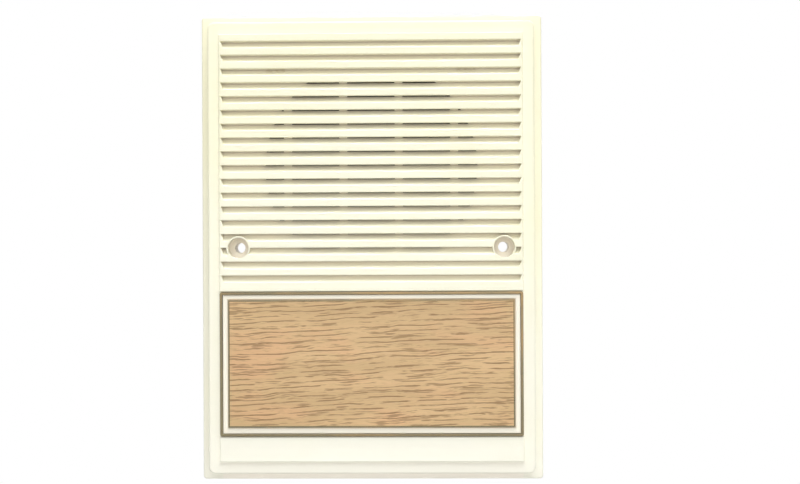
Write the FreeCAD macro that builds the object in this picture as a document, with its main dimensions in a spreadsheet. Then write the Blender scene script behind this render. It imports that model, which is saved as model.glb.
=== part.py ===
"""Wall intercom speaker station: a louvred face plate with a loudspeaker behind it.

Frame: millimetres, +Z up, +X to the right of someone who faces the front, which looks along -Y.
The origin is on the wall plane, midway between the two fixing screws.  The plate stands in front
of the wall plane, at negative Y, and the loudspeaker reaches behind it into the wall box.
Sketches of the plate lie in planes parallel to the wall, and their height in front of the wall
is called forward.  The loudspeaker's own frame starts at the front of its rim, with +Y as depth.
"""
import math
import os
import re

import FreeCAD, Part
import Sketcher

SIZES = [
    # the moulded face plate
    ("plate_wide", 149.2), ("plate_tall", 203.2), ("plate_thick", 3.0), ("plate_corner", 1.5),
    ("plate_edge", 0.8),
    ("body_wide", 141.0), ("body_tall", 195.0), ("body_forward", 12.5), ("body_corner", 3.0),
    ("body_edge", 1.0), ("body_wall", 2.5), ("cavity_corner", 1.5),
    ("panel_wide", 130.8), ("panel_tall", 184.1), ("panel_rise", 1.5), ("panel_edge", 0.5),
    # louvres
    ("grille_thick", 6.0), ("grille_margin", 1.2),
    ("louver_pitch", 5.93), ("louver_count", 18), ("louver_open", 3.0), ("louver_deep", 4.8),
    ("louver_inset", 0.8), ("louver_splay", 1.3), ("louver_margin", 3.05), ("cutter_over", 1.0),
    # slots that let the sound through, behind the louvres
    ("slot_margin", 8.0), ("slot_drop", 0.1), ("slot_rise", 1.5), ("slat_thick", 2.3),
    ("rib_wide", 3.5), ("rib_gap", 24.0),
    # fixing screw cups
    ("screw_gap", 114.3), ("screw_hole", 4.5), ("cup_bore", 8.9), ("cup_deep", 6.0),
    ("cup_rim", 0.7), ("boss_wall", 3.6),
    # decorative insert
    ("insert_inset", 0.3), ("insert_tall", 62.0), ("insert_down", 50.0), ("insert_clear", 0.15),
    ("tray_base", 0.8), ("bead_wide", 2.2), ("bead_rise", 0.7), ("bead_round", 0.3),
    ("trim_wide", 1.2), ("trim_rise", 1.3), ("trim_clear", 0.05), ("trim_corner", 0.9),
    ("wood_rise", 1.5), ("wood_clear", 0.25), ("wood_round", 0.4), ("wood_up", 0.3),
    ("stake_bore", 3.2), ("stake_clear", 0.1), ("stake_head", 4.8), ("stake_head_thick", 0.9),
    ("stake_inset", 9.0),
    # loudspeaker seat on the cover
    ("speaker_up", 35.0), ("speaker_seat", 3.5),
    ("gasket_thick", 1.1), ("gasket_wide", 4.4),
    ("ear_out", 7.6), ("ear_round", 5.5), ("ear_hole", 3.8), ("ear_boss", 7.6),
    ("pilot_clear", 0.05), ("pilot_spare", 0.5),
    # loudspeaker frame
    ("frame_wide", 101.6), ("rim_wide", 4.8), ("frame_sheet", 0.8),
    ("ledge_deep", 15.7), ("basket_run", 18.3), ("ledge_wide", 4.5), ("base_step", 5.0),
    ("base_clear", 0.6), ("window_inset", 1.5), ("window_angle", 62.0), ("window_lip", 0.8),
    ("window_count", 4),
    ("tab_wide", 8.0), ("tab_short", 1.0),
    # cone, surround, spider and coil
    ("edge_gap", 6.6), ("cone_lip", 1.8), ("cone_front", 3.0), ("cone_thick", 0.6),
    ("cone_curve", 1.25), ("cone_steps", 7), ("neck_step", 1.3), ("neck_long", 1.2),
    ("rim_thick", 0.35), ("surround_inset", 0.5), ("surround_pleats", 4), ("pleat_lean", 0.35),
    ("cap_wide", 26.0), ("cap_ball", 36.0), ("cap_thick", 0.4), ("cap_clear", 0.05),
    ("former_bore", 19.0), ("former_wall", 0.3), ("former_nose", 1.0), ("former_tail", 1.2),
    ("winding_wall", 0.5), ("winding_long", 5.0),
    ("spider_thick", 0.4), ("spider_inset", 0.7), ("spider_pleats", 5), ("spider_collar", 0.8),
    ("spider_gap", 0.3),
    # magnet
    ("coil_clear", 0.6), ("pole_clear", 0.5), ("top_plate_wide", 42.0), ("top_plate_thick", 3.5),
    ("magnet_wide", 45.0), ("magnet_bore", 27.0), ("magnet_thick", 8.0),
    ("back_plate_wide", 42.0), ("back_plate_thick", 3.0),
    # solder tags and the braids that feed the coil
    ("tag_board_wide", 24.0), ("tag_board_tall", 11.0), ("tag_board_thick", 1.2),
    ("tag_board_gap", 3.0), ("tag_rivet_shank", 3.0), ("tag_rivet_head", 5.0),
    ("rivet_head_thick", 0.6), ("rivet_clear", 0.05),
    ("lug_gap", 16.0), ("lug_wide", 3.2), ("lug_long", 16.0), ("lug_thick", 0.5),
    ("lug_rivet_shank", 1.8), ("lug_rivet_head", 3.0), ("lug_end", 1.2),
    ("braid_wide", 1.0), ("braid_cone_down", 21.0), ("braid_bow", 2.6),
    # loudspeaker screws
    ("screw_shank", 2.8), ("screw_head", 5.8), ("screw_head_thick", 1.8), ("screw_grip", 4.2),
    ("washer_wide", 7.0), ("washer_bore", 3.2), ("washer_thick", 0.5),
    ("drive_slot", 0.8), ("drive_deep", 0.8),
    # terminal block
    ("block_wide", 26.0), ("block_tall", 12.0), ("block_thick", 7.0),
    ("block_floor", 7.0), ("block_ear", 8.0), ("block_ear_thick", 3.0), ("block_boss", 7.0),
    ("barrier_thick", 1.6), ("barrier_rise", 4.2),
    ("terminal_gap", 12.0), ("clamp_wide", 8.0), ("clamp_tall", 8.4), ("clamp_thick", 0.8),
    ("terminal_shank", 3.0), ("terminal_head", 5.6), ("terminal_head_thick", 1.9),
    ("terminal_deep", 5.0), ("block_screw_long", 6.0),
    # wires from the tags to the block
    ("wire_wide", 1.6), ("wire_bare", 1.0), ("wire_strip", 1.0), ("wire_hold", 4.5),
    ("wire_drop", 24.0),
]

doc = FreeCAD.newDocument("wall_intercom_station")
sizes = doc.addObject("Spreadsheet::Sheet", "sizes")
for row, (alias, number) in enumerate(SIZES, 1):
    sizes.set("A%d" % row, alias)
    sizes.set("B%d" % row, str(number))
    sizes.setAlias("B%d" % row, alias)
doc.recompute()

ALIASES = sorted((alias for alias, number in SIZES), key=len, reverse=True)
ALIAS_WORD = re.compile(r"(?<![\w.])(" + "|".join(ALIASES) + r")(?!\w)")
FULL_TURN, QUARTER_TURN = 360, 90
AXIS_Y = FreeCAD.Rotation(FreeCAD.Vector(1, 0, 0), -QUARTER_TURN)   # a cylinder's axis from Z to Y
parts = []


# ---------------------------------------------------------------- formulas and small helpers

def formula(text):
    """A formula of size names, as the document's expressions spell it."""
    return ALIAS_WORD.sub(r"sizes.\1", str(text))


def value(text):
    """What a formula of size names is worth now."""
    return float(sizes.evalExpression(formula(text)))


def bind(thing, prop, text):
    thing.setExpression(prop, formula(text))


def place(thing, x="0", y="0", z="0"):
    for axis, text in zip("xyz", (x, y, z)):
        bind(thing, "Placement.Base." + axis, text)
    return thing


def keep(thing, label):
    """Name a finished sub-part; the label is also its file's name."""
    thing.Label = label
    parts.append(thing)
    return thing


def origin_feature(body, role):
    return [feature for feature in body.Origin.OriginFeatures if feature.Role == role][0]


# ---------------------------------------------------------------- sketches and their features

def new_sketch(body, name, role, lift):
    sketch = body.newObject("Sketcher::SketchObject", name)
    sketch.AttachmentSupport = [(origin_feature(body, role), "")]
    sketch.MapMode = "FlatFace"
    bind(sketch, "AttachmentOffset.Base.z", lift)
    return sketch


def pin_point(sketch, geometry, vertex, x, y):
    """Hold one point of a sketch at two formulas."""
    for kind, text in (("DistanceX", x), ("DistanceY", y)):
        constraint = Sketcher.Constraint(kind, -1, 1, geometry, vertex, value(text))
        bind(sketch, "Constraints[%d]" % sketch.addConstraint(constraint), text)


def outline(body, name, points, role="XZ_Plane", lift="0"):
    """A closed outline of straight runs through (across, up) formulas."""
    sketch = new_sketch(body, name, role, lift)
    corners = [FreeCAD.Vector(value(x), value(y), 0) for x, y in points]
    for index, corner in enumerate(corners):
        sketch.addGeometry(Part.LineSegment(corner, corners[(index + 1) % len(corners)]), False)
    for index in range(len(corners)):
        sketch.addConstraint(
            Sketcher.Constraint("Coincident", index, 2, (index + 1) % len(corners), 1))
    for index, (x, y) in enumerate(points):
        pin_point(sketch, index, 1, x, y)
    return sketch


def rectangle(body, name, wide, low, high, lift="0"):
    """A rectangle centred across, between two heights."""
    half = "(%s) / 2" % wide
    points = [("-" + half, low), (half, low), (half, high), ("-" + half, high)]
    return outline(body, name, points, "XZ_Plane", lift)


def circles(body, name, places, wide, lift="0"):
    """Circles of one diameter, at (across, up) formulas."""
    sketch = new_sketch(body, name, "XZ_Plane", lift)
    for index, (x, z) in enumerate(places):
        centre = FreeCAD.Vector(value(x), value(z), 0)
        sketch.addGeometry(Part.Circle(centre, FreeCAD.Vector(0, 0, 1), value(wide) / 2), False)
        pin_point(sketch, index, 3, x, z)
        radius = Sketcher.Constraint("Radius", index, value(wide) / 2)
        bind(sketch, "Constraints[%d]" % sketch.addConstraint(radius), "(%s) / 2" % wide)
    return sketch


def pad(body, sketch, length):
    """Raise an outline towards the front."""
    feature = body.newObject("PartDesign::Pad", "raised_" + sketch.Name)
    feature.Profile = sketch
    bind(feature, "Length", length)
    doc.recompute()
    return feature


def pocket(body, sketch, length):
    """Sink an outline from its own plane towards the wall."""
    before = body.Shape.Volume
    feature = body.newObject("PartDesign::Pocket", "sunk_" + sketch.Name)
    feature.Profile = sketch
    bind(feature, "Length", length)
    doc.recompute()
    if not body.Shape.Volume < before:
        raise RuntimeError("%s cuts nothing" % sketch.Name)
    return feature


def turned(label, points, name="section"):
    """A ring about the loudspeaker's axis, from (radius, depth) formulas."""
    body = doc.addObject("PartDesign::Body", label)
    place(body, "0", "-speaker_seat", "speaker_up")
    sketch = outline(body, label + "_" + name, points, "XY_Plane")
    ring = body.newObject("PartDesign::Revolution", label + "_ring")
    ring.Profile = sketch
    ring.ReferenceAxis = (sketch, ["V_Axis"])
    ring.Angle = FULL_TURN
    doc.recompute()
    return body


def round_edges(body, radius, chosen, name):
    """Round the edges of a body's last feature that a test picks."""
    base = body.Tip
    names = ["Edge%d" % index for index, edge in enumerate(base.Shape.Edges, 1) if chosen(edge)]
    feature = body.newObject("PartDesign::Fillet", name)
    feature.Base = (base, names)
    bind(feature, "Radius", radius)
    doc.recompute()
    return feature


def near(a, b):
    return abs(a - b) < 1e-4


def upright_edge(wide, middle, tall):
    """Tests for an edge that runs front to back at a corner of a centred rectangle."""
    half_wide, centre, half_tall = value(wide) / 2, value(middle), value(tall) / 2

    def test(edge):
        box = edge.BoundBox
        runs_back = near(box.XLength, 0) and near(box.ZLength, 0)
        return (runs_back and near(abs(box.XMin), half_wide)
                and near(abs(box.ZMin - centre), half_tall))
    return test


def rim_edge(forward, wide, low, high):
    """Tests for an edge in a plane parallel to the wall, within a centred rectangle's rim."""
    plane, half, low, high = -value(forward), value(wide) / 2, value(low), value(high)

    def test(edge):
        box = edge.BoundBox
        in_plane = near(box.YMin, plane) and near(box.YMax, plane)
        on_side = near(abs(box.XMin), half) and near(abs(box.XMax), half)
        on_end = near(box.ZMin, low) or near(box.ZMax, high)
        at_corner = near(max(abs(box.XMin), abs(box.XMax)), half)
        inside = box.ZMin > low - 1e-4 and box.ZMax < high + 1e-4
        side_run = near(box.XLength, 0) and on_side
        end_run = near(box.ZLength, 0) and on_end
        corner_arc = at_corner and on_end and box.XLength > 1e-4 and box.ZLength > 1e-4
        return in_plane and inside and (side_run or end_run or corner_arc)
    return test


# ---------------------------------------------------------------- primitives and groups

def rod(name, wide, length, x="0", y="0", z="0"):
    """A cylinder whose axis runs along +Y from its start."""
    thing = doc.addObject("Part::Cylinder", name)
    thing.Placement.Rotation = AXIS_Y
    bind(thing, "Radius", "(%s) / 2" % wide)
    bind(thing, "Height", length)
    return place(thing, x, y, z)


def block(name, wide, deep, tall, x="0", y="0", z="0"):
    """A box from the middle of its width, its start in Y and the middle of its height."""
    thing = doc.addObject("Part::Box", name)
    for prop, text in (("Length", wide), ("Width", deep), ("Height", tall)):
        bind(thing, prop, text)
    return place(thing, "(%s) - (%s) / 2" % (x, wide), y, "(%s) - (%s) / 2" % (z, tall))


def joined(name, things):
    thing = doc.addObject("Part::MultiFuse", name)
    thing.Shapes = things
    return thing


def minus(name, base, tool):
    thing = doc.addObject("Part::Cut", name)
    thing.Base = base
    thing.Tool = tool
    return thing


def group(name, things):
    thing = doc.addObject("Part::Compound", name)
    thing.Links = things
    return thing


def slotted_screw(name, shank, head, head_thick, length, x, y, z):
    """A slotted screw whose head's underside is at y and whose shank points to the front."""
    shaft = rod(name + "_shank", shank, length, x, "(%s) - (%s)" % (y, length), z)
    cap = rod(name + "_cap", head, head_thick, x, y, z)
    over = "(%s) + (%s) - drive_deep" % (y, head_thick)
    cut = block(name + "_cut", "(%s) * 2" % head, "drive_deep * 2", "drive_slot", x, over, z)
    return minus(name, joined(name + "_whole", [shaft, cap]), cut)


def bent_path(points):
    """A wire of straight runs joined by tangent arcs as large as the runs allow."""
    reach = 0.45                                  # share of the shorter run that an arc takes
    corners = [FreeCAD.Vector(*point) for point in points]
    edges, start = [], corners[0]
    for before, corner, after in zip(corners, corners[1:], corners[2:]):
        back, ahead = (before - corner), (after - corner)
        take = reach * min(back.Length, ahead.Length)
        enter, leave = corner + back.normalize() * take, corner + ahead.normalize() * take
        half_turn = (math.pi - back.getAngle(ahead)) / 2
        radius = take / math.tan(half_turn)
        middle = (back + ahead).normalize()
        top = corner + middle * (radius / math.cos(half_turn) - radius)
        edges.append(Part.LineSegment(start, enter).toShape())
        edges.append(Part.Arc(enter, top, leave).toShape())
        start = leave
    edges.append(Part.LineSegment(start, corners[-1]).toShape())
    return Part.Wire(edges)


def round_wire(points, wide):
    """A round solid of one diameter that follows a bent path."""
    path = bent_path(points)
    first = path.Edges[0]
    heading = first.tangentAt(first.FirstParameter)
    ring = Part.Wire([Part.Circle(FreeCAD.Vector(*points[0]), heading, wide / 2).toShape()])
    return path.makePipeShell([ring], True, True)


# ---------------------------------------------------------------- face plate

FACE = "(body_forward + panel_rise)"
GRILLE_BACK = "(%s - grille_thick)" % FACE
LOUVER_WIDE = "(panel_wide - 2 * louver_inset)"
LOUVER_FIRST = "(panel_tall / 2 - louver_margin)"
INSERT_WIDE = "(panel_wide - 2 * insert_inset)"
INSERT_TOP = "(insert_tall / 2 - insert_down)"
INSERT_BOTTOM = "(-insert_tall / 2 - insert_down)"
FRAME_MOUTH = "(frame_wide - 2 * rim_wide)"
EAR_GAP = "(sqrt(2) * (frame_wide / 2 + ear_out))"
SIDES = (-1, 1)
CUPS = [("%d * screw_gap / 2" % side, "0") for side in SIDES]
EARS = [("%d * %s / 2" % (across, EAR_GAP), "speaker_up + %d * %s / 2" % (up, EAR_GAP))
        for across in SIDES for up in SIDES]
STAKES = [("%d * (%s / 2 - stake_inset)" % (across, INSERT_WIDE),
           "%d * (insert_tall / 2 - stake_inset) - insert_down" % up)
          for across in SIDES for up in SIDES]
BLOCK_SCREWS = [("%d * (block_wide + block_ear) / 2" % side, "-insert_down") for side in SIDES]
SEAT_RING = "(speaker_seat + rim_thick + gasket_thick)"
RIBS = (-1.5, -0.5, 0.5, 1.5)                     # places of the slots' ribs, in rib gaps


def plate_shell():
    """Flange, raised box and the panel on it, hollowed from the wall side."""
    body = doc.addObject("PartDesign::Body", "plate_body")
    half_tall, body_half, panel_half = "plate_tall / 2", "body_tall / 2", "panel_tall / 2"
    pad(body, rectangle(body, "flange", "plate_wide", "-" + half_tall, half_tall), "plate_thick")
    round_edges(body, "plate_corner", upright_edge("plate_wide", "0", "plate_tall"), "flange_corners")
    round_edges(body, "plate_edge",
                rim_edge("plate_thick", "plate_wide", "-" + half_tall, half_tall), "flange_rim")
    pad(body, rectangle(body, "box", "body_wide", "-" + body_half, body_half), "body_forward")
    round_edges(body, "body_corner", upright_edge("body_wide", "0", "body_tall"), "box_corners")
    round_edges(body, "body_edge",
                rim_edge("body_forward", "body_wide", "-" + body_half, body_half), "box_rim")
    cavity_wide, cavity_half = "body_wide - 2 * body_wall", "(body_tall / 2 - body_wall)"
    cavity_top = "body_forward - body_wall"
    pocket(body, rectangle(body, "cavity", cavity_wide, "-" + cavity_half, cavity_half, cavity_top),
           cavity_top)
    round_edges(body, "cavity_corner",
                upright_edge(cavity_wide, "0", "2 * " + cavity_half), "cavity_corners")
    for name, low, high in (("upper_panel", INSERT_TOP + " + insert_clear", panel_half),
                            ("lower_panel", "-" + panel_half, INSERT_BOTTOM + " - insert_clear")):
        pad(body, rectangle(body, name, "panel_wide", low, high, "body_forward"), "panel_rise")
        round_edges(body, "panel_edge", rim_edge(FACE, "panel_wide", low, high), name + "_rim")
    return body


def add_louvers(body):
    """The thick web behind the louvres, and the wedge-shaped grooves across its front."""
    last = LOUVER_FIRST + " - (louver_count - 1) * louver_pitch - louver_open - grille_margin"
    web = rectangle(body, "web", LOUVER_WIDE + " + 2 * grille_margin", last,
                    LOUVER_FIRST + " + grille_margin", GRILLE_BACK)
    pad(body, web, "body_forward - body_wall - " + GRILLE_BACK)
    wedge = body.newObject("PartDesign::SubtractiveWedge", "groove")
    wedge.Placement.Rotation = FreeCAD.Rotation(FreeCAD.Vector(1, 0, 0), QUARTER_TURN)
    half = LOUVER_WIDE + " / 2"
    for prop, text in (("Xmin", "louver_splay - " + half), ("Xmax", half + " - louver_splay"),
                       ("X2min", "-" + half), ("X2max", half),
                       ("Ymin", "-louver_open"), ("Ymax", "0"),
                       ("Zmin", "0"), ("Zmax", "cutter_over"),
                       ("Z2min", "-louver_deep"), ("Z2max", "cutter_over")):
        bind(wedge, prop, text)
    place(wedge, "0", "-" + FACE, LOUVER_FIRST)
    doc.recompute()
    rows = body.newObject("PartDesign::LinearPattern", "grooves")
    rows.Originals = [wedge]
    rows.Direction = (origin_feature(body, "Z_Axis"), [""])
    rows.Reversed = True
    rows.Mode = "Spacing"
    bind(rows, "Offset", "louver_pitch")
    bind(rows, "Occurrences", "louver_count")
    body.Tip = rows
    doc.recompute()


def add_bosses(body):
    """Screw cups, the ring and bosses that carry the loudspeaker, the terminal block's bosses."""
    pad(body, circles(body, "cup_walls", CUPS, "cup_bore + 2 * cup_rim", GRILLE_BACK), "grille_thick")
    pad(body, circles(body, "cup_bosses", CUPS, "screw_hole + 2 * boss_wall"), GRILLE_BACK)
    pocket(body, circles(body, "cups", CUPS, "cup_bore", FACE), "cup_deep")
    pocket(body, circles(body, "screw_holes", CUPS, "screw_hole", FACE), FACE)
    centre = [("0", "speaker_up")]
    pad(body, circles(body, "seat_ring", centre, "frame_wide", SEAT_RING),
        GRILLE_BACK + " - " + SEAT_RING)
    pocket(body, circles(body, "seat_mouth", centre, "frame_wide - 2 * gasket_wide", GRILLE_BACK),
           GRILLE_BACK + " - " + SEAT_RING)
    pad(body, circles(body, "ear_bosses", EARS, "ear_boss", "speaker_seat"),
        GRILLE_BACK + " - speaker_seat")
    pocket(body, circles(body, "ear_pilots", EARS, "screw_shank + 2 * pilot_clear",
                         "speaker_seat + screw_grip + pilot_spare"), "screw_grip + pilot_spare")
    pad(body, circles(body, "block_bosses", BLOCK_SCREWS, "block_boss", "block_floor"),
        "body_forward - body_wall - block_floor")
    pocket(body, circles(body, "block_pilots", BLOCK_SCREWS, "screw_shank + 2 * pilot_clear",
                         "block_floor - block_ear_thick + block_screw_long + pilot_spare"),
           "block_screw_long - block_ear_thick + pilot_spare")
    pocket(body, circles(body, "stake_holes", STAKES, "stake_bore", "body_forward"), "body_wall")


def sound_slots():
    """The cutter for the slots: a stack of boxes trimmed to a circle and parted by ribs."""
    rows = []
    for row in range(int(value("louver_count"))):
        height = LOUVER_FIRST + " - %d * louver_pitch + (slot_rise - slot_drop) / 2" % row
        if abs(value(height + " - speaker_up")) > value(FRAME_MOUTH + " / 2 - slot_margin"):
            continue
        rows.append(block("slot_row_%d" % row, FRAME_MOUTH + " + cutter_over",
                          "grille_thick - slat_thick + cutter_over", "slot_rise + slot_drop",
                          "0", "slat_thick - " + FACE, height))
    disc = rod("slot_disc", FRAME_MOUTH, "grille_thick + cutter_over", "0", "-" + FACE,
               "speaker_up")
    trimmed = doc.addObject("Part::Common", "slots_in_circle")
    trimmed.Base = disc
    trimmed.Tool = group("slot_rows", rows)
    ribs = [block("rib_%d" % index, "rib_wide", "grille_thick + 2 * cutter_over",
                  FRAME_MOUTH + " + cutter_over", "%s * rib_gap" % across, "-cutter_over - " + FACE,
                  "speaker_up")
            for index, across in enumerate(RIBS)]
    return minus("slots", trimmed, group("slot_ribs", ribs))


def front_cover():
    body = plate_shell()
    add_louvers(body)
    add_bosses(body)
    keep(minus("cover_cut", body, sound_slots()), "front_cover")


# ---------------------------------------------------------------- decorative insert

TRAY_TOP = "(body_forward + tray_base)"
TRAY_WIDE = "(%s - 2 * trim_wide)" % INSERT_WIDE
TRAY_TALL = "(insert_tall - 2 * trim_wide)"


def insert_span(tall, up="0"):
    """The lowest and highest edge of a rectangle centred on the insert, or a little above."""
    return "-(%s) / 2 - insert_down + %s" % (tall, up), "(%s) / 2 - insert_down + %s" % (tall, up)


def round_insert_corners(body, name):
    round_edges(body, "trim_corner", upright_edge(INSERT_WIDE, "-insert_down", "insert_tall"), name)


def insert_tray():
    """The cream tray: a thin base with a low bead, and four pins melted over behind."""
    body = doc.addObject("PartDesign::Body", "tray_body")
    low, high = insert_span("insert_tall")
    pad(body, rectangle(body, "tray_floor", INSERT_WIDE, low, high, "body_forward"), "tray_base")
    round_insert_corners(body, "tray_corners")
    low, high = insert_span(TRAY_TALL)
    pad(body, rectangle(body, "bead", TRAY_WIDE, low, high, TRAY_TOP), "bead_rise")
    inner_wide, inner_tall = TRAY_WIDE + " - 2 * bead_wide", TRAY_TALL + " - 2 * bead_wide"
    inner_low, inner_high = insert_span(inner_tall, "wood_up")
    top = TRAY_TOP + " + bead_rise"
    pocket(body, rectangle(body, "tray_well", inner_wide, inner_low, inner_high, top), "bead_rise")
    outer, inner = rim_edge(top, TRAY_WIDE, low, high), rim_edge(top, inner_wide, inner_low, inner_high)
    round_edges(body, "bead_round", lambda edge: outer(edge) or inner(edge), "bead_crown")
    shank = "stake_bore - 2 * stake_clear"
    pad(body, circles(body, "stake_pins", STAKES, shank, "body_forward - body_wall"), "body_wall")
    pad(body, circles(body, "stake_heads", STAKES, "stake_head",
                      "body_forward - body_wall - stake_head_thick"), "stake_head_thick")
    keep(body, "insert_tray")


def gold_trim():
    """The gilt band that rings the tray."""
    body = doc.addObject("PartDesign::Body", "trim_body")
    low, high = insert_span("insert_tall")
    pad(body, rectangle(body, "band", INSERT_WIDE, low, high, TRAY_TOP), "trim_rise")
    round_insert_corners(body, "band_corners")
    wide, tall = TRAY_WIDE + " + 2 * trim_clear", TRAY_TALL + " + 2 * trim_clear"
    low, high = insert_span(tall)
    pocket(body, rectangle(body, "band_well", wide, low, high, TRAY_TOP + " + trim_rise"), "trim_rise")
    keep(body, "gold_trim")


def woodgrain_plate():
    """The wood-faced plate inside the bead."""
    body = doc.addObject("PartDesign::Body", "wood_body")
    wide = TRAY_WIDE + " - 2 * bead_wide - 2 * wood_clear"
    low, high = insert_span(TRAY_TALL + " - 2 * bead_wide - 2 * wood_clear", "wood_up")
    pad(body, rectangle(body, "wood_face", wide, low, high, TRAY_TOP), "wood_rise")
    round_edges(body, "wood_round", rim_edge(TRAY_TOP + " + wood_rise", wide, low, high), "wood_rim")
    keep(body, "woodgrain_plate")


# ---------------------------------------------------------------- loudspeaker frame and magnet

LEDGE_OUT = "(%s - 2 * basket_run)" % FRAME_MOUTH
LEDGE_IN = "(%s - 2 * ledge_wide)" % LEDGE_OUT
BASE_DEEP = "(ledge_deep + base_step)"
FORMER_WIDE = "(former_bore + 2 * former_wall)"
GAP_BORE = "(%s + 2 * winding_wall + 2 * coil_clear)" % FORMER_WIDE
MAGNET_START = "(%s + frame_sheet)" % BASE_DEEP
MAGNET_MIDDLE = "(%s + top_plate_thick)" % MAGNET_START
MAGNET_END = "(%s + magnet_thick)" % MAGNET_MIDDLE
TAG_DOWN = ("(max(%s / 2 + frame_sheet; magnet_wide / 2) + tag_board_gap + tag_board_tall / 2)"
            % LEDGE_IN)


def plain_ring(label, bore, wide, start, end):
    """A turned ring, or a disc where the bore is zero, between two depths."""
    points = [("(%s) / 2" % bore, start), ("(%s) / 2" % wide, start),
              ("(%s) / 2" % wide, end), ("(%s) / 2" % bore, end)]
    return keep(turned(label + "_body", points), label)


def speaker_basket():
    """The pressed steel frame: rim with four ears, pierced cone, spider ledge and base."""
    slope = "(basket_run / ledge_deep)"
    spread = "(frame_sheet * sqrt(1 + %s * %s))" % (slope, slope)
    foot = "(%s / 2 + %s - %s * frame_sheet)" % (LEDGE_OUT, spread, slope)
    knee = "(%s / 2 + %s - %s * frame_sheet)" % (FRAME_MOUTH, spread, slope)
    body = turned("basket_body", [
        (FRAME_MOUTH + " / 2", "0"), ("frame_wide / 2", "0"), ("frame_wide / 2", "frame_sheet"),
        (knee, "frame_sheet"), (foot, "ledge_deep + frame_sheet"),
        (LEDGE_IN + " / 2 + frame_sheet", "ledge_deep + frame_sheet"),
        (LEDGE_IN + " / 2 + frame_sheet", MAGNET_START),
        (GAP_BORE + " / 2 + base_clear", MAGNET_START), (GAP_BORE + " / 2 + base_clear", BASE_DEEP),
        (LEDGE_IN + " / 2", BASE_DEEP), (LEDGE_IN + " / 2", "ledge_deep"),
        (LEDGE_OUT + " / 2", "ledge_deep")])
    window = body.newObject("PartDesign::SubtractiveCylinder", "window")
    bind(window, "Radius", FRAME_MOUTH + " / 2 - window_inset")
    bind(window, "Height", "ledge_deep - frame_sheet - 2 * window_lip")
    bind(window, "Angle", "window_angle")
    bind(window, "Placement.Base.y", "frame_sheet + window_lip")
    window.Placement.Rotation = FreeCAD.Rotation(
        FreeCAD.Vector(0, 1, 0), QUARTER_TURN - value("window_angle") / 2) * AXIS_Y
    doc.recompute()
    windows = body.newObject("PartDesign::PolarPattern", "windows")
    windows.Originals = [window]
    windows.Axis = (origin_feature(body, "Y_Axis"), [""])
    windows.Angle = FULL_TURN
    bind(windows, "Occurrences", "window_count")
    body.Tip = windows
    doc.recompute()
    pad_ears(body)
    tab_end = "-(%s + tag_board_tall / 2 - tab_short)" % TAG_DOWN
    tab = outline(body, "tab", [
        ("-tab_wide / 2", tab_end), ("tab_wide / 2", tab_end),
        ("tab_wide / 2", "-%s / 2" % LEDGE_IN), ("-tab_wide / 2", "-%s / 2" % LEDGE_IN)],
        "XZ_Plane", "-" + MAGNET_START)
    pad(body, tab, "frame_sheet")
    hole = circles(body, "tab_hole", [("0", "-" + TAG_DOWN)],
                   "tag_rivet_shank + 2 * rivet_clear", "-" + BASE_DEEP)
    pocket(body, hole, "frame_sheet")
    return keep(body, "speaker_basket")


def pad_ears(body):
    """Four ears on the rim, each a bar towards the corner with a round end and a hole."""
    places = [("%d * %s / 2" % (across, EAR_GAP), "%d * %s / 2" % (up, EAR_GAP))
              for across in SIDES for up in SIDES]
    lift = "-frame_sheet"
    pad(body, circles(body, "ear_ends", places, "2 * ear_round", lift), "frame_sheet")
    for index, (across, up) in enumerate((a, u) for a in SIDES for u in SIDES):
        step = "(ear_round / sqrt(2))"
        inner, outer = "(frame_wide / 2 / sqrt(2) - frame_sheet)", "(%s / 2)" % EAR_GAP
        corners = [("%d * (%s - %s)" % (across, outer, step), "%d * (%s + %s)" % (up, outer, step)),
                   ("%d * (%s + %s)" % (across, outer, step), "%d * (%s - %s)" % (up, outer, step)),
                   ("%d * (%s + %s)" % (across, inner, step), "%d * (%s - %s)" % (up, inner, step)),
                   ("%d * (%s - %s)" % (across, inner, step), "%d * (%s + %s)" % (up, inner, step))]
        pad(body, outline(body, "ear_bar_%d" % index, corners, "XZ_Plane", lift), "frame_sheet")
    pocket(body, circles(body, "ear_holes", places, "ear_hole"), "frame_sheet")


def magnet_parts():
    plain_ring("top_plate", GAP_BORE, "top_plate_wide", MAGNET_START, MAGNET_MIDDLE)
    plain_ring("magnet", "magnet_bore", "magnet_wide", MAGNET_MIDDLE, MAGNET_END)
    plain_ring("back_plate", "0", "back_plate_wide", MAGNET_END, MAGNET_END + " + back_plate_thick")
    plain_ring("pole_piece", "0", "former_bore - 2 * pole_clear", MAGNET_START, MAGNET_END)


# ---------------------------------------------------------------- cone, coil and their suspension

NECK = "(%s / 2)" % FORMER_WIDE
NECK_DEEP = "(ledge_deep + neck_step)"
LIP_OUT = "(%s / 2 - edge_gap)" % FRAME_MOUTH
LIP_IN = "(%s - cone_lip)" % LIP_OUT
LIP_BACK = "(cone_front + cone_thick)"


def pleated_ring(label, inner, outer, collar, rim, front_in, front_out, thick, pleats):
    """A pleated diaphragm: a flat rim, steps that go back towards the coil, a flat collar."""
    front = [(rim, front_out), (outer, front_out)]
    count = 2 * int(value(pleats))
    for step in range(1, count):
        way = 1 if step % 2 else -1
        across = "%s + (%s - %s) * %d / %d" % (outer, inner, outer, step, count)
        down = "%s + (%s - %s) * (%d + (%d) * pleat_lean) / %d" % (
            front_out, front_in, front_out, step, way, count)
        front.append((across, down))
    front += [(inner, front_in), (collar, front_in)]
    back = [(radius, "%s + %s" % (depth, thick)) for radius, depth in reversed(front)]
    return keep(turned(label + "_body", front + back), label)


def cone_surround():
    """Its rim lies between the gasket and the frame, and its collar is glued to the cone."""
    pleated_ring("cone_surround", LIP_OUT, "(%s / 2 - surround_inset)" % FRAME_MOUTH, LIP_IN,
                 "(frame_wide / 2 - rim_thick)", "(cone_front - rim_thick)", "(-rim_thick)",
                 "rim_thick", "surround_pleats")


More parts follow.
